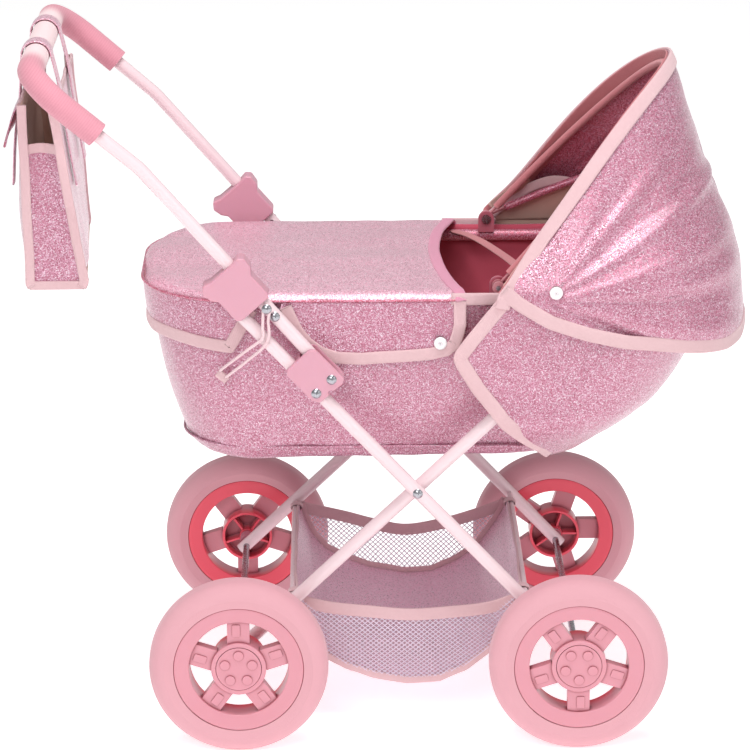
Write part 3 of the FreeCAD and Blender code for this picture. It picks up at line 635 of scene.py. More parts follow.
def make_shell():
    bottom, top = SHELL_LOW[2], SHELL_HIGH[2]
    rounding = 7.0
    rows = [level(shell_ring(0.0, -inset), bottom) for inset in (90, 60, 35, 18, rounding)]
    for turn in np.radians((30, 60, 80)):
        rows.append(level(shell_ring(0.0, rounding * (math.sin(turn) - 1)),
                          bottom + rounding * (1 - math.cos(turn))))
    for share in np.linspace(0.06, 1.0, 34):
        rows.append(level(shell_ring(share), bottom + share * (top - bottom)))
    rows = rumpled(rows, (3.4, 62, (1, 1, 0.45), 3.0), (0.7, 17, (1, 1, 0.6), 5.0))
    centre = (0, 0, (bottom + top) / 2)
    shell = cloth("bassinet_cloth", rows, loop_columns=True, outward=centre)
    # the shell's inner face is the darkened backing: painted shade
    fit(shell, GLITTER, ride="bassinet", replaces=["bassinet_shell"], thickness=1.4, inner=SHADED_BACKING)
    floor = add_mesh("bassinet_floor", level(shell_ring(0.0, -88), bottom + 0.4),
                     [list(range(RING))])
    fit(floor, SHADED_BACKING, ride="bassinet", thickness=0.8)
    seam = level(shell_ring(0.08, 1.0), bottom + 11)
    fit(round_cord("bassinet_piping", seam, 1.3, beside=(0, 0, 1), closed=True), GLITTER,
        ride="bassinet")


def make_mattress():
    """Thin pad, puffed by a short cloth simulation."""
    low, high = corners("mattress_pad")
    middle = (low[2] + high[2]) / 2
    thick = (high[2] - low[2]) / 2 - 2.0

    def ring(inset, height):
        outline = plan(low[0] + 4 + inset, high[0] - 4 - inset, high[1] - 4 - inset,
                       max(52 - inset, 3), max(56 - inset, 3))
        return level(outline, middle + thick * height)
    layers = [(92, -1), (60, -1), (34, -1), (14, -1), (0, -1), (0, -0.5), (0, 0.5), (2, 1), (14, 1),
              (34, 1), (60, 1), (92, 1)]
    pad = cloth("mattress", [ring(*layer) for layer in layers], loop_columns=True,
                outward=(0, 0, middle))
    close_ends(pad, RING)
    puff(pad, voxel=0.005, pressure=4.0, cap=0.0035)
    fit(pad, LINING, ride="bassinet", replaces=["mattress_pad"])


def close_ends(piece, ring):
    """Fills the first and last rings of a closed tube of quads."""
    work = bmesh.new()
    work.from_mesh(piece.data)
    work.verts.ensure_lookup_table()
    total = len(work.verts)
    work.faces.new([work.verts[i] for i in range(ring)][::-1])
    work.faces.new([work.verts[i] for i in range(total - ring, total)])
    bmesh.ops.recalc_face_normals(work, faces=work.faces)
    work.to_mesh(piece.data)
    work.free()


def puff(piece, voxel, pressure, cap):
    """Inflates a closed pad with Cloth, never moving a point further than cap."""
    bpy.context.view_layer.objects.active = piece
    remesh = piece.modifiers.new("remesh", "REMESH")
    remesh.mode = "VOXEL"
    remesh.voxel_size = voxel
    bpy.ops.object.modifier_apply(modifier="remesh")
    before = np.array([v.co for v in piece.data.vertices])
    sim = piece.modifiers.new("cloth", "CLOTH")
    sim.settings.use_pressure = True
    sim.settings.uniform_pressure_force = pressure
    sim.settings.effector_weights.gravity = 0
    for step in range(1, 21):
        bpy.context.scene.frame_set(step)
    bpy.ops.object.modifier_apply(modifier="cloth")
    moved = np.array([v.co for v in piece.data.vertices]) - before
    length = np.linalg.norm(moved, axis=1, keepdims=True)
    moved *= np.minimum(1, cap / np.maximum(length, 1e-9))
    piece.data.vertices.foreach_set("co", (before + moved).ravel())
    piece.modifiers.new("smooth", "SUBSURF").levels = 1
    bpy.ops.object.modifier_apply(modifier="smooth")
    piece.data.polygons.foreach_set("use_smooth", [True] * len(piece.data.polygons))
    bpy.context.scene.frame_set(1)


# ---------- cover ----------

COVER_HIGH = corners("cover")[1]
COVER_REAR = -222.0
COVER_HALF = 123.0
COVER_CORNER = 88.0
# how far round the cover's edge its straight side begins
SIDE_START = COVER_HALF - COVER_CORNER + math.pi / 2 * COVER_CORNER
SEAM_Z = COVER_HIGH[2] - 5.5
FRONT_LEAN = 2.6
SKIRT_BINDING = 9.0


def cover_edge(distance):
    """Plan point and outward direction at a distance round the cover's edge from the rear middle,
    positive on the near side."""
    side = -1 if distance >= 0 else 1
    run = abs(distance)
    flat = COVER_HALF - COVER_CORNER
    if run < flat:
        return np.array([COVER_REAR, side * run]), np.array([-1.0, 0.0])
    if run < SIDE_START:
        turn = (run - flat) / COVER_CORNER
        way = np.array([-math.cos(turn), side * math.sin(turn)])
        return np.array([COVER_REAR + COVER_CORNER, side * flat]) + COVER_CORNER * way, way
    x = COVER_REAR + COVER_CORNER + run - SIDE_START
    return np.array([x, side * COVER_HALF]), np.array([0.0, side])


def along_side(x):
    """Distance round the cover's edge of a place on its straight side."""
    return SIDE_START + x - COVER_REAR - COVER_CORNER


def cover_front(y):
    """The concave front edge of the cover's top."""
    return 29.0 + 17.0 * (y / 117.0) ** 2


def make_cover_top():
    rows = []
    flat = COVER_HALF - COVER_CORNER
    for share in np.linspace(0, 1, 80):
        line = []
        for s in np.sin(np.linspace(-math.pi / 2, math.pi / 2, 71)):
            y = s * (COVER_HALF + 0.6)
            beyond = max(abs(y) - flat, 0) / (COVER_CORNER + 0.6)
            rear = COVER_REAR - 0.6 + COVER_CORNER * (1 - math.sqrt(max(1 - beyond ** 2, 0)))
            x = rear + share * (cover_front(y) - rear)
            edge = min(COVER_HALF + 0.6 - abs(y), x - rear)
            round_off = 6.5 * max(1 - edge / 11.0, 0) ** 2.2
            crown = 3.0 * (1 - s ** 2) * min(1, (x - rear) / 60)
            line.append((x, y, COVER_HIGH[2] + 0.6 - round_off + crown))
        rows.append(line)
    rows = rumpled(rows, (2.6, 48, (0.35, 1, 1), 11.0), (0.5, 12, (0.6, 1, 1), 2.0))
    # the cover's top is the lighter glitter copy: painted light where it faces up
    top = cloth("cover_top", rows, outward=(-80, 0, 0))
    # the cover top's inner face is the darkened backing: painted shade
    fit(top, GLITTER_LIT, ride="bassinet", replaces=["cover"], thickness=1.2, inner=SHADED_BACKING)
    edge = rows[-1]
    bind("cover_front_hem", evenly(edge, 90), (0, 0, 1), (-80, 0, 384), ride="bassinet",
         finish=HEM_BAND, slot="glitter_fabric", width=8.5, thick=3.2)


def skirt(first, last, hem, lean, columns, seed):
    """A hanging side: rows from the seam to the hem, between two distances round the edge.
    first and last are functions of the share of the way down; lean is how far the hem stands out
    at a distance."""
    rows = []
    wave = ripple(30, (1, 1, 0.3), seed)
    for share in np.linspace(0, 1, 22):
        line = []
        for part in np.linspace(0, 1, columns):
            distance = first(share) + part * (last(share) - first(share))
            place, way = cover_edge(distance)
            drop = SEAM_Z + share * (hem(abs(distance)) - SEAM_Z)
            here = np.array([*place, drop])
            out = 0.4 + lean(abs(distance)) * share ** 1.3 + 1.5 * share * wave(here)
            line.append((*(place + way * out), drop))
        rows.append(line)
    return np.array(rows)


def facing_out(path):
    """Directions away from the bassinet's long middle line, level."""
    middle = np.clip(path[:, 0], -130, 150)
    return unit(np.column_stack([path[:, 0] - middle, path[:, 1], np.zeros(len(path))]))


def rear_hem(distance):
    return np.interp(distance, (0, 60, 120, 165, 190), (343, 342, 340, 336, 336))


def rear_lean(distance):
    return np.interp(distance, (0, 60, 120, 170), (-4.2, -3.8, -1.0, 2.0))


def front_hem(distance):
    x = distance - along_side(0)
    return np.interp(x, (-105, -101, -95, -86, -74, -60, -38, -5, 20, 34, 42, 46, 48),
                     (376, 366, 353, 341, 332, 327, 326, 328, 330, 333, 340, 352, 364))


def make_cover_skirts():
    slit_top, slit_bottom = along_side(-121), along_side(-145)

    def slit(share):
        return slit_top + share * (slit_bottom - slit_top)
    rows = skirt(lambda share: -slit(share), slit, rear_hem, rear_lean, 150, 21.0)
    rear = cloth("cover_skirt_rear", rows, outward=(-80, 0, 360))
    # the skirts' inner faces are the darkened backing: painted shade
    fit(rear, GLITTER, ride="bassinet", thickness=1.1, inner=SHADED_BACKING)
    border = evenly(np.vstack([rows[4:, 0], rows[-1, 1:-1], rows[4:, -1][::-1]]), 260)
    bind("cover_skirt_rear_binding", border + facing_out(border) * 0.6, facing_out(border),
         (-80, 0, 380), ride="bassinet", width=SKIRT_BINDING)
    for side, sign in SIDES.items():
        first, last = along_side(-104) * -sign, along_side(47) * -sign
        rows = skirt(lambda share: first, lambda share: last, front_hem,
                     lambda distance: FRONT_LEAN, 90, 31.0)
        panel = cloth("cover_skirt_" + side, rows, outward=(-30, 0, 360))
        fit(panel, GLITTER, ride="bassinet", thickness=1.1, inner=SHADED_BACKING)
        border = evenly(np.vstack([rows[-1], rows[::-1, -1][1:]]), 130)
        bind("cover_skirt_binding_" + side, border + facing_out(border) * 0.5, facing_out(border),
             (-30, sign * 124, 375), ride="bassinet", width=SKIRT_BINDING)


def make_cover_seam():
    line = []
    for distance in np.linspace(-along_side(46), along_side(46), 260):
        place, way = cover_edge(distance)
        line.append((*(place + way * 0.9), SEAM_Z + 0.3))
    # the piping in the darker glitter copy paints the shade along the cover's seam
    fit(round_cord("cover_piping", line, 1.1, beside=(0, 0, 1)), GLITTER_SHADED, ride="bassinet")


def make_rim_casing():
    """The cloth sleeve round the rim rod, seen inside the hood's opening."""
    low, high = corners("rim_frame")
    ring = plan(low[0] + 4, high[0] - 4, high[1] - 4, 80, 85, count=240)
    ring = level(ring, (low[2] + high[2]) / 2)
    # the casing in the darker glitter copy paints the shade inside the hood's opening
    fit(round_cord("rim_casing", ring, 5.2, beside=(0, 0, 1), closed=True), GLITTER_SHADED,
        ride="bassinet")


def make_rim_tape():
    """The shell's bound top edge, between the cover and the wrap."""
    for side, sign in SIDES.items():
        edge = evenly(np.array([(36, 123.2, 383.5), (84, 123.2, 383.5)]) * (1, sign, 1), 20)
        bind("rim_tape_" + side, edge, (0, sign, 0), (60, sign * 123, 360), ride="bassinet",
             width=9.0, thick=2.6)


def make_strap():
    """A tape set slantwise across the bassinet, just in front of the cover's edge."""
    line = through([(46, 112, 376), (58, 92, 377.5), (69, 68, 378), (82, 32, 378), (92, 0, 378),
                    (101, -36, 378), (108, -72, 378), (112, -109, 377)], 120)
    across = np.cross((0.0, 0.0, 1.0), np.gradient(line, axis=0))
    # the strap's tape is darkened: painted shade inside the bassinet
    fit(swept("bassinet_strap", line, across, rounded_section(9.0, 1.8)), SHADED_TAPE, ride="bassinet")


SNAP_PROFILE = [(0.4, 1.0), (1.5, 1.0), (2.0, 1.7), (3.0, 2.1), (4.3, 1.8), (5.1, 1.0), (5.4, -0.4)]


def make_snaps(node, stand):
    """Press studs with a raised ring round a dimple. stand is how far out the cloth lies."""
    low, high = corners(node)
    x, z = (low[0] + high[0]) / 2, (low[2] + high[2]) / 2
    for side, sign in SIDES.items():
        stud = lathe(node + "_" + side, (x, stand, z), sign, SNAP_PROFILE)
        fit(stud, SNAP, ride="bassinet", replaces=[node] if sign == NEAR else ())
        back = [(radius, -3.2 - 0.5 * height) for radius, height in SNAP_PROFILE]
        fit(lathe(node + "_back_" + side, (x, stand, z), sign, back), SNAP, ride="bassinet")


# ---------- front wrap ----------

WRAP_HIGH = corners("front_wrap")[1]
WRAP_PLAN = [
    # share of the height, front, half width, corner
    (0.0, 152.5, 108.0, 68.0), (0.22, 199.0, 136.0, 86.0),
    (0.45, 230.0, 136.4, 92.0), (1.0, 277.0, 136.6, 96.0),
]
WRAP_BORDER = [
    # height, x of the wrap's rear border
    (237.5, 117.0), (247.0, 108.0), (275.0, 77.0), (305.0, 54.0), (327.0, 40.5), (333.0, 38.5),
    (339.0, 40.5), (350.0, 48.5), (383.5, 75.0),
]


FLAP_FOOT = 381.0


def wrap_row(height):
    share = (height - SHELL_LOW[2]) / (WRAP_HIGH[2] - SHELL_LOW[2])
    front, half, corner = lookup(WRAP_PLAN, share)
    border = np.interp(height, *np.array(WRAP_BORDER).T)
    past = max(border - (front - corner), 0)
    start = half - corner + math.sqrt(corner ** 2 - past ** 2)
    bow = np.vstack([arc(front - corner, corner - half, corner, 270, 360),
                     arc(front - corner, half - corner, corner, 0, 90)])
    line = np.vstack([[(border, -start)], bow[bow[:, 0] > border], [(border, start)]])
    return level(evenly(line, 150), height)


def make_wrap():
    heights = np.linspace(WRAP_BORDER[0][0], WRAP_BORDER[-1][0], 60)
    rows = rumpled([wrap_row(height) for height in heights],
                   (3.0, 55, (1, 1, 0.4), 7.0), (0.6, 16, (1, 1, 0.7), 8.0))
    wrap = cloth("wrap_cloth", rows, outward=(150, 0, 310))
    fit(wrap, GLITTER, ride="bassinet", replaces=["front_wrap"], thickness=1.4, inner=LINING)
    for side, sign, edge in side_edges(rows):
        facing = np.array((0.0, sign, 0.0))
        bind("wrap_binding_" + side, evenly(edge, 120) + facing * 0.8, facing,
             (200, sign * 136, 310), ride="bassinet", width=10.5, thick=2.8)


def make_wrap_flaps():
    """The wrap's rounded ears inside the hood, lined with beige cloth."""
    for side, sign in SIDES.items():
        top = through([(74, 383), (89, 398), (101, 408), (116, 418), (138, 424), (162, 415),
                       (184, 384)], 60)
        foot = np.column_stack([np.linspace(74, 184, 60), np.full(60, FLAP_FOOT)])
        rows = []
        for share in np.linspace(0, 1, 16):
            line = foot + share * (top - foot)
            lean = 134.0 - 17.0 * (line[:, 1] - FLAP_FOOT) / 38
            rows.append(np.column_stack([line[:, 0], sign * lean, line[:, 1]]))
        rows = np.array(rows)
        flap = cloth("wrap_flap_" + side, rows, outward=(120, 0, 390))
        fit(flap, GLITTER, ride="bassinet", thickness=1.2, inner=LINING)
        bind("wrap_flap_binding_" + side, rows[-1], (0, sign, 0), (120, sign * 130, 380),
             ride="bassinet", width=7.0, thick=2.4)


# ---------- hood ----------

HOOD_X, HOOD_Z = 75.0, 388.0
HOOD_INSIDE = (190, 0, 440)
HOOD_RIBS = [
    # angle above level, half width, reach, squareness
    (49.3, 117.5, 228.0, 1.9), (37.0, 127.5, 208.0, 2.1), (22.0, 137.0, 197.0, 2.5),
    (7.0, 144.5, 206.0, 2.9), (-5.0, 147.5, 213.0, 3.2), (-17.0, 147.5, 222.0, 3.3),
]
# two bodies, and the points in metres where the cloth between them starts and ends to follow
HOOD_BEND = ("bassinet", "hood_front", (0.283, 0.0, 0.393), (0.232, 0.0, 0.556))
HOOD_TIP = 140.5
HEM_DROP = [
    # share of the hem's reach, how far it hangs below its plane
    (0.0, 0.0), (0.06, 7.0), (0.19, 14.0), (0.34, 15.0), (0.49, 13.0), (0.6, 9.0), (0.8, 3.0),
    (0.9, -1.0), (0.96, -7.0), (1.0, -15.0),
]
FRONT_BOW = (48.0, 111.4, 218.0, 1.9)
REAR_BOW = (24.0, 118.3, 188.0, 2.3)


def arch(angle, half, reach, power, spare=0.0, lift=0.0):
    """Points along an arch over the hood at an angle, from the near side, and the directions that
    look straight out of it. lift is how many degrees its haunches stand forward of its plane."""
    turn = math.pi / 2 * (1 - np.cos(np.linspace(spare, math.pi - spare, 700)))
    across = -np.sign(np.cos(turn)) * np.abs(np.cos(turn)) ** (2 / power)
    along = np.maximum(np.sin(turn), 0) ** (2 / power)
    tilt = np.radians(angle + lift * 4 * along * (1 - along))
    out = unit(np.column_stack([np.sign(across) * np.abs(across) ** (power - 1) / half,
                                along ** (power - 1) / reach]))
    level_out, side_out = out[:, 1], out[:, 0]
    points = np.column_stack([HOOD_X + along * reach * np.cos(tilt), across * half,
                              HOOD_Z + along * reach * np.sin(tilt)])
    facing = np.column_stack([level_out * np.cos(tilt), side_out, level_out * np.sin(tilt)])
    return points, facing


def hood_rib(angle):
    """One rib of the canopy and its outward directions; all ribs meet at the hood's tips."""
    half, reach, power = lookup(HOOD_RIBS[::-1], angle)
    reach += 2.5 * math.exp(-((angle - 22.0) / 1.6) ** 2)
    points, facing = arch(angle, half, reach, power, lift=3.4 * math.exp(-((50 - angle) / 9) ** 2))
    from_tip = np.hypot(points[:, 0] - HOOD_X, points[:, 2] - HOOD_Z)
    points[:, 1] *= 1 + (HOOD_TIP / half - 1) * np.exp(-(from_tip / 30) ** 2)
    low = min(max((7 - angle) / 24, 0), 1) ** 2
    points[:, 2] -= low * np.interp(from_tip / reach, *np.array(HEM_DROP).T)
    return evenly_facing(points, facing, 181)


def hood_folds(point):
    """Tension folds that fan out from each press stud and deepen away from it."""
    dx, dz = point[0] - 112, point[2] - 384
    reach = math.hypot(dx, dz)
    fan = math.atan2(dz, dx)
    depth = min(reach / 110, 1) * min(max((1.0 - fan) / 0.25, 0.0), 1.0)
    depth *= min(max((abs(point[1]) - 45) / 70, 0.12), 1.0)
    wave = noise.noise(Vector((fan * 3.6, reach * 0.003, math.copysign(3.0, point[1]))))
    fine = noise.noise(Vector((fan * 9.0, reach * 0.006, math.copysign(9.0, point[1]))))
    return depth * (wave + 0.4 * fine)


def front_facing(ribs, rows):
    """Outward directions along the canopy's front edge, steadied at the tips."""
    analytic = ribs[0][1]
    surface = normals(rows)[0]
    surface = surface * np.sign((surface * analytic).sum())
    from_tip = np.hypot(rows[0, :, 0] - HOOD_X, rows[0, :, 2] - HOOD_Z)[:, None]
    share = np.clip((from_tip - 15) / 40, 0, 1)
    return unit(analytic * (1 - share) + surface * share)


def make_hood():
    angles = np.r_[np.linspace(HOOD_RIBS[0][0], 24, 34), np.linspace(23, 20, 6),
                   np.linspace(19, -17, 34)]
    ribs = [hood_rib(angle) for angle in angles]
    rows = np.array([points for points, facing in ribs])
    near_tip = np.hypot(rows[..., 0] - HOOD_X, rows[..., 2] - HOOD_Z)[..., None]
    edges = np.clip(np.minimum(angles[0] - angles, angles - angles[-1]) / 7, 0.08, 1)
    calm = np.clip(near_tip / 35, 0, 1) * edges[:, None, None]
    creased = ruffled(rows, 15.0, hood_folds)
    creased = ruffled(creased, 1.2, ripple(30, (1, 1, 1), 15.0))
    rows = rows + np.nan_to_num(creased - rows) * calm
    canopy = cloth("hood_cloth", rows, outward=(110, 0, 400))
    # the canopy's inner face is the darker glitter copy: painted shade
    fit(canopy, GLITTER, bend=HOOD_BEND, replaces=["hood_canopy"], thickness=1.3,
        inner=GLITTER_SHADED)
    front, front_out = rows[0], front_facing(ribs, rows)
    hem, hem_out = rows[-1], unit(ribs[-1][1] * (1, 1, 0))
    down = np.array([(-2.0, 0.0, -11.0), (-1.0, 0.0, -5.0)])
    front = np.vstack([front[0] + down, front, front[-1] + down[::-1]])
    front_out = np.vstack([front_out[:1], front_out[:1], front_out, front_out[-1:], front_out[-1:]])
    for name, path, facing in (("hood_front_binding", front, front_out),
                               ("hood_hem_binding", hem, hem_out)):
        path, facing = evenly_facing(path, facing, 200)
        bind(name, path + facing, facing, HOOD_INSIDE, bend=HOOD_BEND, width=10.5, thick=3.0)
    # the inner facing is darkened tape: painted shade inside the hood
    path, facing = evenly_facing(rows[0], front_facing(ribs, rows), 160)
    bind("hood_front_facing", path - facing * 2.4, facing, HOOD_INSIDE, bend=HOOD_BEND,
         finish=SHADED_TAPE, width=15.0, thick=1.6, lap=1.7)
    for side, sign in SIDES.items():
        end = slice(2, 17) if sign == NEAR else slice(-17, -2)
        foot = path[end] - facing[end] * 4.2
        bind("hood_front_foot_" + side, foot, facing[end], HOOD_INSIDE, bend=HOOD_BEND,
             finish=INNER_TAPE, width=10.0, thick=1.4, lap=2.0)
    # both sleeves take darkened copies of their cloth and tape: painted shade
    for name, body, angle, half, reach, power, finish in (
            ("hood_front_sleeve", "hood_front", *FRONT_BOW, SHADED_TAPE),
            ("hood_rear_sleeve", "hood_rear", *REAR_BOW, GLITTER_SHADED)):
        path = evenly(arch(angle, half, reach, power, spare=0.3)[0], 160)
        tilt = math.radians(angle)
        fit(round_cord(name, path, 3.3, beside=(-math.sin(tilt), 0, math.cos(tilt))), finish,
            "glitter_fabric", ride=body)


# ---------- basket ----------

SLING = [
    # x, height of the basket's floor on the near side
    (-94, 120), (-91, 104), (-83, 80), (-70, 60), (-52, 48), (-30, 40), (0, 35), (28, 36),
    (50, 46), (70, 64), (86, 92), (94, 108), (97, 122),
]
NET_TOPS = {
    NEAR: [(-94, 119), (-66, 112), (-32, 108), (2, 105), (36, 107), (70, 111), (97, 121)],
    FAR: [(-94, 119), (-52, 109), (-27, 102), (3, 96), (35, 101), (63, 109), (97, 121)],
}
FLOOR_HALF, NET_HALF = 105.0, 119.5
NET_REAR, NET_FRONT, NET_FOOT = -93, 95, 30
MESH_WIDE, MESH_TALL = 4.8, 4.2
BASKET_BEND = ("front_frame", "rear_frame", (0.080, 0.0, 0.12), (-0.078, 0.0, 0.12))


def sling_height(x, y):
    """The floor hangs lower on the near side, and dips a little along its middle."""
    height = np.interp(x, *np.array(SLING, float).T)
    slack = np.clip((118 - height) / 70, 0, 1)
    return height + slack * (0.095 * (y + 104) - 3.0 * (1 - (y / 105) ** 2))


def sling_half(height):
    return np.interp(height, (34, 110), (FLOOR_HALF, 116.5))


def make_sling():
    line = through(SLING, 90)
    rows = []
    for x, height in line:
        half = sling_half(height)
        rows.append([(x, y, sling_height(x, y)) for y in np.linspace(-half, half, 70)])
    rows = ruffled(np.array(rows), 2.2, ripple(40, (1, 0.8, 0.6), 17.0))
    # the basket floor is the brightest glitter copy: painted light
    fit(cloth("basket_floor", rows, outward=(0, 0, 200)), GLITTER_BRIGHTENED, bend=BASKET_BEND,
        replaces=["basket_sling"], thickness=1.2)
    for side, sign, edge in side_edges(rows):
        bind("basket_low_binding_" + side, edge + (0, sign * 0.8, 0), (0, sign, 0),
             (0, sign * 110, 110), bend=BASKET_BEND, width=5.5, thick=2.2)
    for name, row in (("rear", rows[0]), ("front", rows[-1])):
        bind("basket_%s_binding" % name, row, (1, 0, 0), (row[0][0], 0, 60), bend=BASKET_BEND,
             width=8.0)


def net_point(x, height, sign):
    top = np.interp(x, *np.array(NET_TOPS[sign], float).T)
    floor = sling_height(x, sign * FLOOR_HALF)
    share = np.clip((height - floor) / max(top - floor, 1), 0, 1)
    foot = sling_half(floor)
    out = foot + share * (NET_HALF - foot) + 4.0 * math.sin(math.pi * share)
    return (x, sign * out, height)


def make_net(side, sign):
    """A knitted net: a lattice of thread with diamond holes, cut to the basket's side."""
    points, faces, known = [], [], {}

    def corner(column, row):
        key = (column, row)
        if key not in known:
            known[key] = len(points)
            points.append(net_point(column * MESH_WIDE / 2, NET_FOOT + row * MESH_TALL / 2, sign))
        return known[key]
    tops = np.array(NET_TOPS[sign], float).T
    for column in range(-40, 41):
        for row in range(0, 46):
            if (column + row) % 2:
                continue
            x, height = column * MESH_WIDE / 2, NET_FOOT + row * MESH_TALL / 2
            if not NET_REAR < x < NET_FRONT:
                continue
            if sling_height(x, sign * FLOOR_HALF) < height < np.interp(x, *tops) - 1:
                faces.append([corner(column - 1, row), corner(column, row - 1),
                              corner(column + 1, row), corner(column, row + 1)])
    net = add_mesh("basket_net_" + side, points, faces)
    wire = net.modifiers.new("threads", "WIREFRAME")
    wire.thickness = 1.15 * MM
    wire.use_even_offset = False
    fit(net, NET, bend=BASKET_BEND, replaces=["basket_mesh_" + side])
    rim = through([(x, sign * NET_HALF, height) for x, height in NET_TOPS[sign]], 110)
    bind("basket_top_binding_" + side, rim, (0, sign, 0), (0, sign * 118, 40), bend=BASKET_BEND,
         width=9.5, thick=2.4)


def make_basket_loops():
    """Tape loops that hang the basket's corners on the two cross rods."""
    for name, edge_x in (("rear", -94.0), ("front", 97.0)):
        low, high = corners(name + "_cross_rod")
        x, z = (low[0] + high[0]) / 2, (low[2] + high[2]) / 2
        for side, sign in SIDES.items():
            middle = (edge_x + x) / 2
            reach = abs(edge_x - x) / 2 + 3.6
            turn = full_turn(40)
            ring = np.column_stack([middle + reach * np.cos(turn), np.full(40, sign * 110.0),
                                    z + 0.4 + 3.6 * np.sin(turn)])
            band = swept("basket_loop_%s_%s" % (name, side), ring, (0.0, 1.0, 0.0),
                         rounded_section(9.0, 1.2), closed=True)
            fit(band, BINDING, ride=name + "_frame")


# ---------- bag ----------

BAG_LOW, BAG_HIGH = corners("bag_body")
BAG_HALF = BAG_HIGH[1]
GUSSET_TOP = 505.0
GRIP_RADIUS = 10.8


def bag_share(height):
    return (height - BAG_LOW[2]) / (BAG_HIGH[2] - BAG_LOW[2])


def bag_side(height):
    """x of the bag's back and front panels at a height."""
    share = bag_share(height)
    back = np.interp(share, (0.0, 0.03, 1.0), (-312.0, -314.5, -316.5))
    front = np.interp(share, (0.0, 0.04, 1.0), (-268.0, -265.0, -288.0))
    return back, front


def bag_slant(y, share):
    """The front panel's foot hangs a little further back on the far side."""
    return -5.5 * (1 - share) * (y / BAG_HALF + 1)


def bag_panel(index):
    rows = []
    for height in np.linspace(BAG_LOW[2] + 1, BAG_HIGH[2], 44):
        x = bag_side(height)[index]
        share = bag_share(height)
        bulge = (0.0 if index else -7.5) * math.sin(math.pi * min(share * 1.1, 1))
        across = np.linspace(-BAG_HALF, BAG_HALF, 70)
        depth = x + bulge * (1 - (across / BAG_HALF) ** 6) + index * bag_slant(across, share)
        rows.append(level(np.column_stack([depth, across]), height))
    return ruffled(np.array(rows), 1.6, ripple(36, (1, 1, 0.7), 41.0 + index))


def make_bag():
    centre = (-292, 0, 450)
    # the bag's front panel takes the lighter glitter copy: painted light
    for name, index, outer in (("bag_back", 0, GLITTER), ("bag_front", 1, GLITTER_LIT)):
        rows = bag_panel(index)
        panel = cloth(name, rows, outward=centre)
        fit(panel, outer, "glitter_fabric", ride="bag", thickness=1.2, inner=LINING,
            replaces=["bag_body"] if index else ())
        bind(name + "_rim", rows[-1], (1 if index else -1, 0, 0), (-300, 0, 450), ride="bag",
             width=7.0)
        for side, sign, edge in side_edges(rows):
            bind("%s_edge_%s" % (name, side), edge + (0, sign * 0.8, 0), (0, sign, 0),
                 (-292, sign * BAG_HALF, 450), ride="bag", width=6.5, thick=2.4)
    y = np.linspace(-BAG_HALF, BAG_HALF, 40)
    sag = BAG_LOW[2] + 1.0 + 1.5 * (y / BAG_HALF) ** 2
    floor = [np.column_stack([-313 + part * (48 + bag_slant(y, 0)), y, sag])
             for part in np.linspace(0, 1, 14)]
    fit(cloth("bag_floor", floor, outward=centre), GLITTER, ride="bag", thickness=1.2,
        inner=LINING)
    for side, sign in SIDES.items():
        rows = []
        for height in np.linspace(BAG_LOW[2] + 1, GUSSET_TOP, 36):
            back, front = bag_side(height)
            front += bag_slant(sign * BAG_HALF, bag_share(height))
            share = (height - BAG_LOW[2]) / (GUSSET_TOP - BAG_LOW[2])
            fold = 7.0 * share ** 1.4
            rows.append([(back + part * (front - back),
                          sign * (BAG_HALF - 0.4 - fold * math.sin(math.pi * part) ** 2),
                          height) for part in np.linspace(0, 1, 24)])
        rows = ruffled(np.array(rows), 1.0, ripple(22, (1, 1, 1), 51.0))
        fit(cloth("bag_gusset_" + side, rows, outward=centre), GLITTER, ride="bag", thickness=1.2,
            inner=LINING)
        bind("bag_gusset_rim_" + side, rows[-1], (0, sign, 0), (-295, sign * 98, 440), ride="bag",
             width=7.0, thick=2.4)
        bind("bag_gusset_foot_" + side, rows[0] + (0, sign * 0.6, 0), (0, sign, 0),
             (-295, sign * 98, 440), ride="bag", width=6.0, thick=2.4)


def make_bag_flap():
    """The back pocket's loose top, which hangs away from the bag."""
    profile = through([(-317.5, 540), (-322, 531), (-327, 517), (-330.5, 503)], 20)
    rows = [[(x, y, z) for y in np.linspace(-88, 88, 40)] for x, z in profile]
    rows = ruffled(np.array(rows), 2.5, ripple(40, (1, 1, 1), 61.0))
    fit(cloth("bag_flap", rows, outward=(-300, 0, 500)), GLITTER, ride="bag", thickness=1.1,
        inner=SHADED_BACKING)
    # the hem in the darker glitter copy: painted shade
    bind("bag_flap_hem", rows[-1], (-1, 0, 0.3), (-325, 0, 540), ride="bag", finish=GLITTER_SHADED,
         width=5.0)


def make_bag_straps():
    """Two cloth loops over the handle bar, sewn down on the bag's panels."""
    low, high = corners("handle_grip")
    bar_x, bar_z = low[0] + GRIP_RADIUS, high[2] - GRIP_RADIUS
    around = GRIP_RADIUS + 1.6
    for side, sign in SIDES.items():
        y = sign * 48.0
        over = np.radians(np.linspace(180, 0, 15))
        top = [(bar_x + around * math.cos(turn), bar_z + around * math.sin(turn)) for turn in over]
        back, front = [(-327.5, 462), (-325.0, 500), (-319.8, 538)], [(-286, 540), (-280.5, 500),
                                                                      (-274.5, 462)]
        line = through(back + top + front, 150)
        path = np.column_stack([line[:, 0], np.full(len(line), y), line[:, 1]])
        path[:, 1] += 1.2 * np.sin(np.linspace(0, 5, len(path)))
        strap = swept("bag_strap_" + side, path, (0.0, 1.0, 0.0), rounded_section(19.0, 1.8))
        # painted light: the straps are in the lighter glitter copy
        fit(strap, GLITTER_LIT, "binding_tape", ride="bag",
            replaces=["bag_straps"] if sign == NEAR else ())


# ---------- elastic loops ----------

HOOK_RADIUS = 2.9


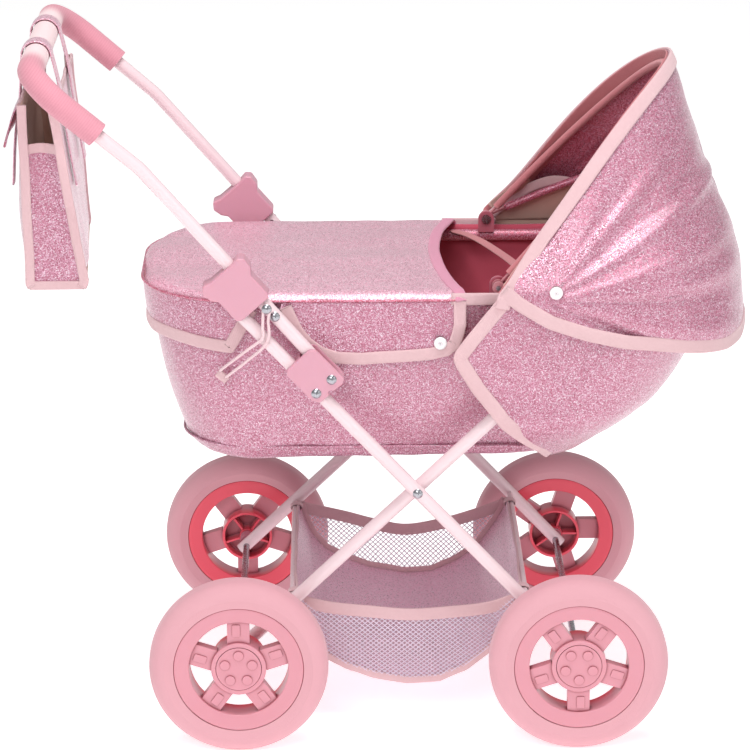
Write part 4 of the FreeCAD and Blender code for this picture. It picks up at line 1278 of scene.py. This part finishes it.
def make_elastic():
    """Each loop hooks over a stud on the handle, and both strands are sewn to the shell."""
    low, high = corners("loop_studs")
    stud_x, stud_z = (low[0] + high[0]) / 2, (low[2] + high[2]) / 2
    for side, sign in SIDES.items():
        hook = [(stud_x + HOOK_RADIUS * math.cos(turn), 148.0,
                 stud_z + HOOK_RADIUS * math.sin(turn))
                for turn in np.radians((190, 140, 90, 40, -10))]
        out = [(-155.5, 123.6, 319.5), (-146, 129, 328.5), (-131, 140, 343), (-119.5, 149.2, 354.5),
               (-119.0, 149.6, 364)]
        back = [(-114.4, 149.4, 370), (-113.9, 149.6, 357), (-118, 146, 347), (-130, 137, 334),
                (-142, 129, 322), (-150.5, 123.6, 314)]
        path = through(out + hook + back, 190) * (1, sign, 1)
        cord = round_cord("elastic_" + side, path, 1.25)
        bend = ("handle", "bassinet", (-0.117, sign * 0.149, 0.368), (-0.128, sign * 0.141, 0.342))
        fit(cord, ELASTIC, bend=bend, replaces=["elastic_loop_" + side])
        patch = np.array([(-159, 122.4, 316), (-151, 122.4, 309)], float) * (1, sign, 1)
        bind("elastic_anchor_" + side, evenly(patch, 12), (0, sign, 0), (-100, sign * 122, 360),
             ride="bassinet", width=6.0, thick=2.6)


# ---------- stage ----------

FLOOR_REACH = 9000
DAYLIGHT = 0.42
LAMPS = [
    # name, place in metres, size, power
    ("key", (-0.6, -2.0, 1.7), 1.1, 18),
    ("fill", (1.9, -1.5, 1.3), 1.5, 7),
    ("top", (0.1, -0.6, 2.6), 1.2, 38),
]
CAMERA_PLACE = (-0.0613, -2.8329, 1.1502)
CAMERA_TURN = (-0.725, 17.133, -0.179)    # yaw, pitch and roll in degrees
CAMERA_LENS, CAMERA_SENSOR = 164.2, 36.0


def make_stage():
    """A pale floor and soft studio light."""
    edge = [(-1, -1, 0), (1, -1, 0), (1, 1, 0), (-1, 1, 0)]
    floor = add_mesh("studio_floor", np.array(edge) * FLOOR_REACH, [[0, 1, 2, 3]])
    paint = Finish("studio_floor", colour(250, 249, 249), Roughness=0.9,
                   Emission_Color=(1, 1, 1, 1), Emission_Strength=0.5)
    grain = paint.noise(3.0)
    paint.join(paint.vary(grain, 0.3, colour(251, 250, 250),
                         colour(248, 247, 247)), "Base Color")
    floor.data.materials.append(paint.material)
    world = bpy.data.worlds.new("studio")
    world.use_nodes = True
    light = world.node_tree.nodes["Background"].inputs
    light["Color"].default_value = (1, 1, 1, 1)
    light["Strength"].default_value = DAYLIGHT
    bpy.context.scene.world = world
    middle = Vector((0, 0, 0.3))
    for name, place, size, power in LAMPS:
        lamp = bpy.data.lights.new(name, "AREA")
        lamp.shape = "DISK"
        lamp.size = size
        lamp.energy = power
        made = bpy.data.objects.new(name, lamp)
        made.location = place
        made.rotation_euler = (middle - Vector(place)).to_track_quat("-Z", "Y").to_euler()
        bpy.context.scene.collection.objects.link(made)
    bpy.context.scene.view_settings.view_transform = "Standard"


def make_camera():
    yaw, pitch, roll = (math.radians(angle) for angle in CAMERA_TURN)
    ahead = Vector((-math.sin(yaw) * math.cos(pitch), math.cos(yaw) * math.cos(pitch),
                    -math.sin(pitch)))
    right = Vector((math.cos(yaw), math.sin(yaw), 0.0))
    up = right.cross(ahead)
    side = math.cos(roll) * right + math.sin(roll) * up
    top = -math.sin(roll) * right + math.cos(roll) * up
    lens = bpy.data.cameras.new("camera")
    lens.lens = CAMERA_LENS
    lens.sensor_width = CAMERA_SENSOR
    camera = bpy.data.objects.new("camera", lens)
    turned = Matrix((side, top, -ahead)).transposed().to_4x4()
    camera.matrix_world = Matrix.Translation(CAMERA_PLACE) @ turned
    bpy.context.scene.collection.objects.link(camera)
    bpy.context.scene.camera = camera


dress_frame()
make_camera()
make_stage()
make_shell()
make_mattress()
make_cover_top()
make_cover_skirts()
make_cover_seam()
make_rim_casing()
make_strap()
make_rim_tape()
make_snaps("cover_snaps", 127.6)
make_wrap()
make_wrap_flaps()
make_hood()
make_snaps("hood_snaps", 148.6)
make_sling()
for side_name, side_sign in SIDES.items():
    make_net(side_name, side_sign)
make_basket_loops()
make_bag()
make_bag_flap()
make_bag_straps()
make_elastic()
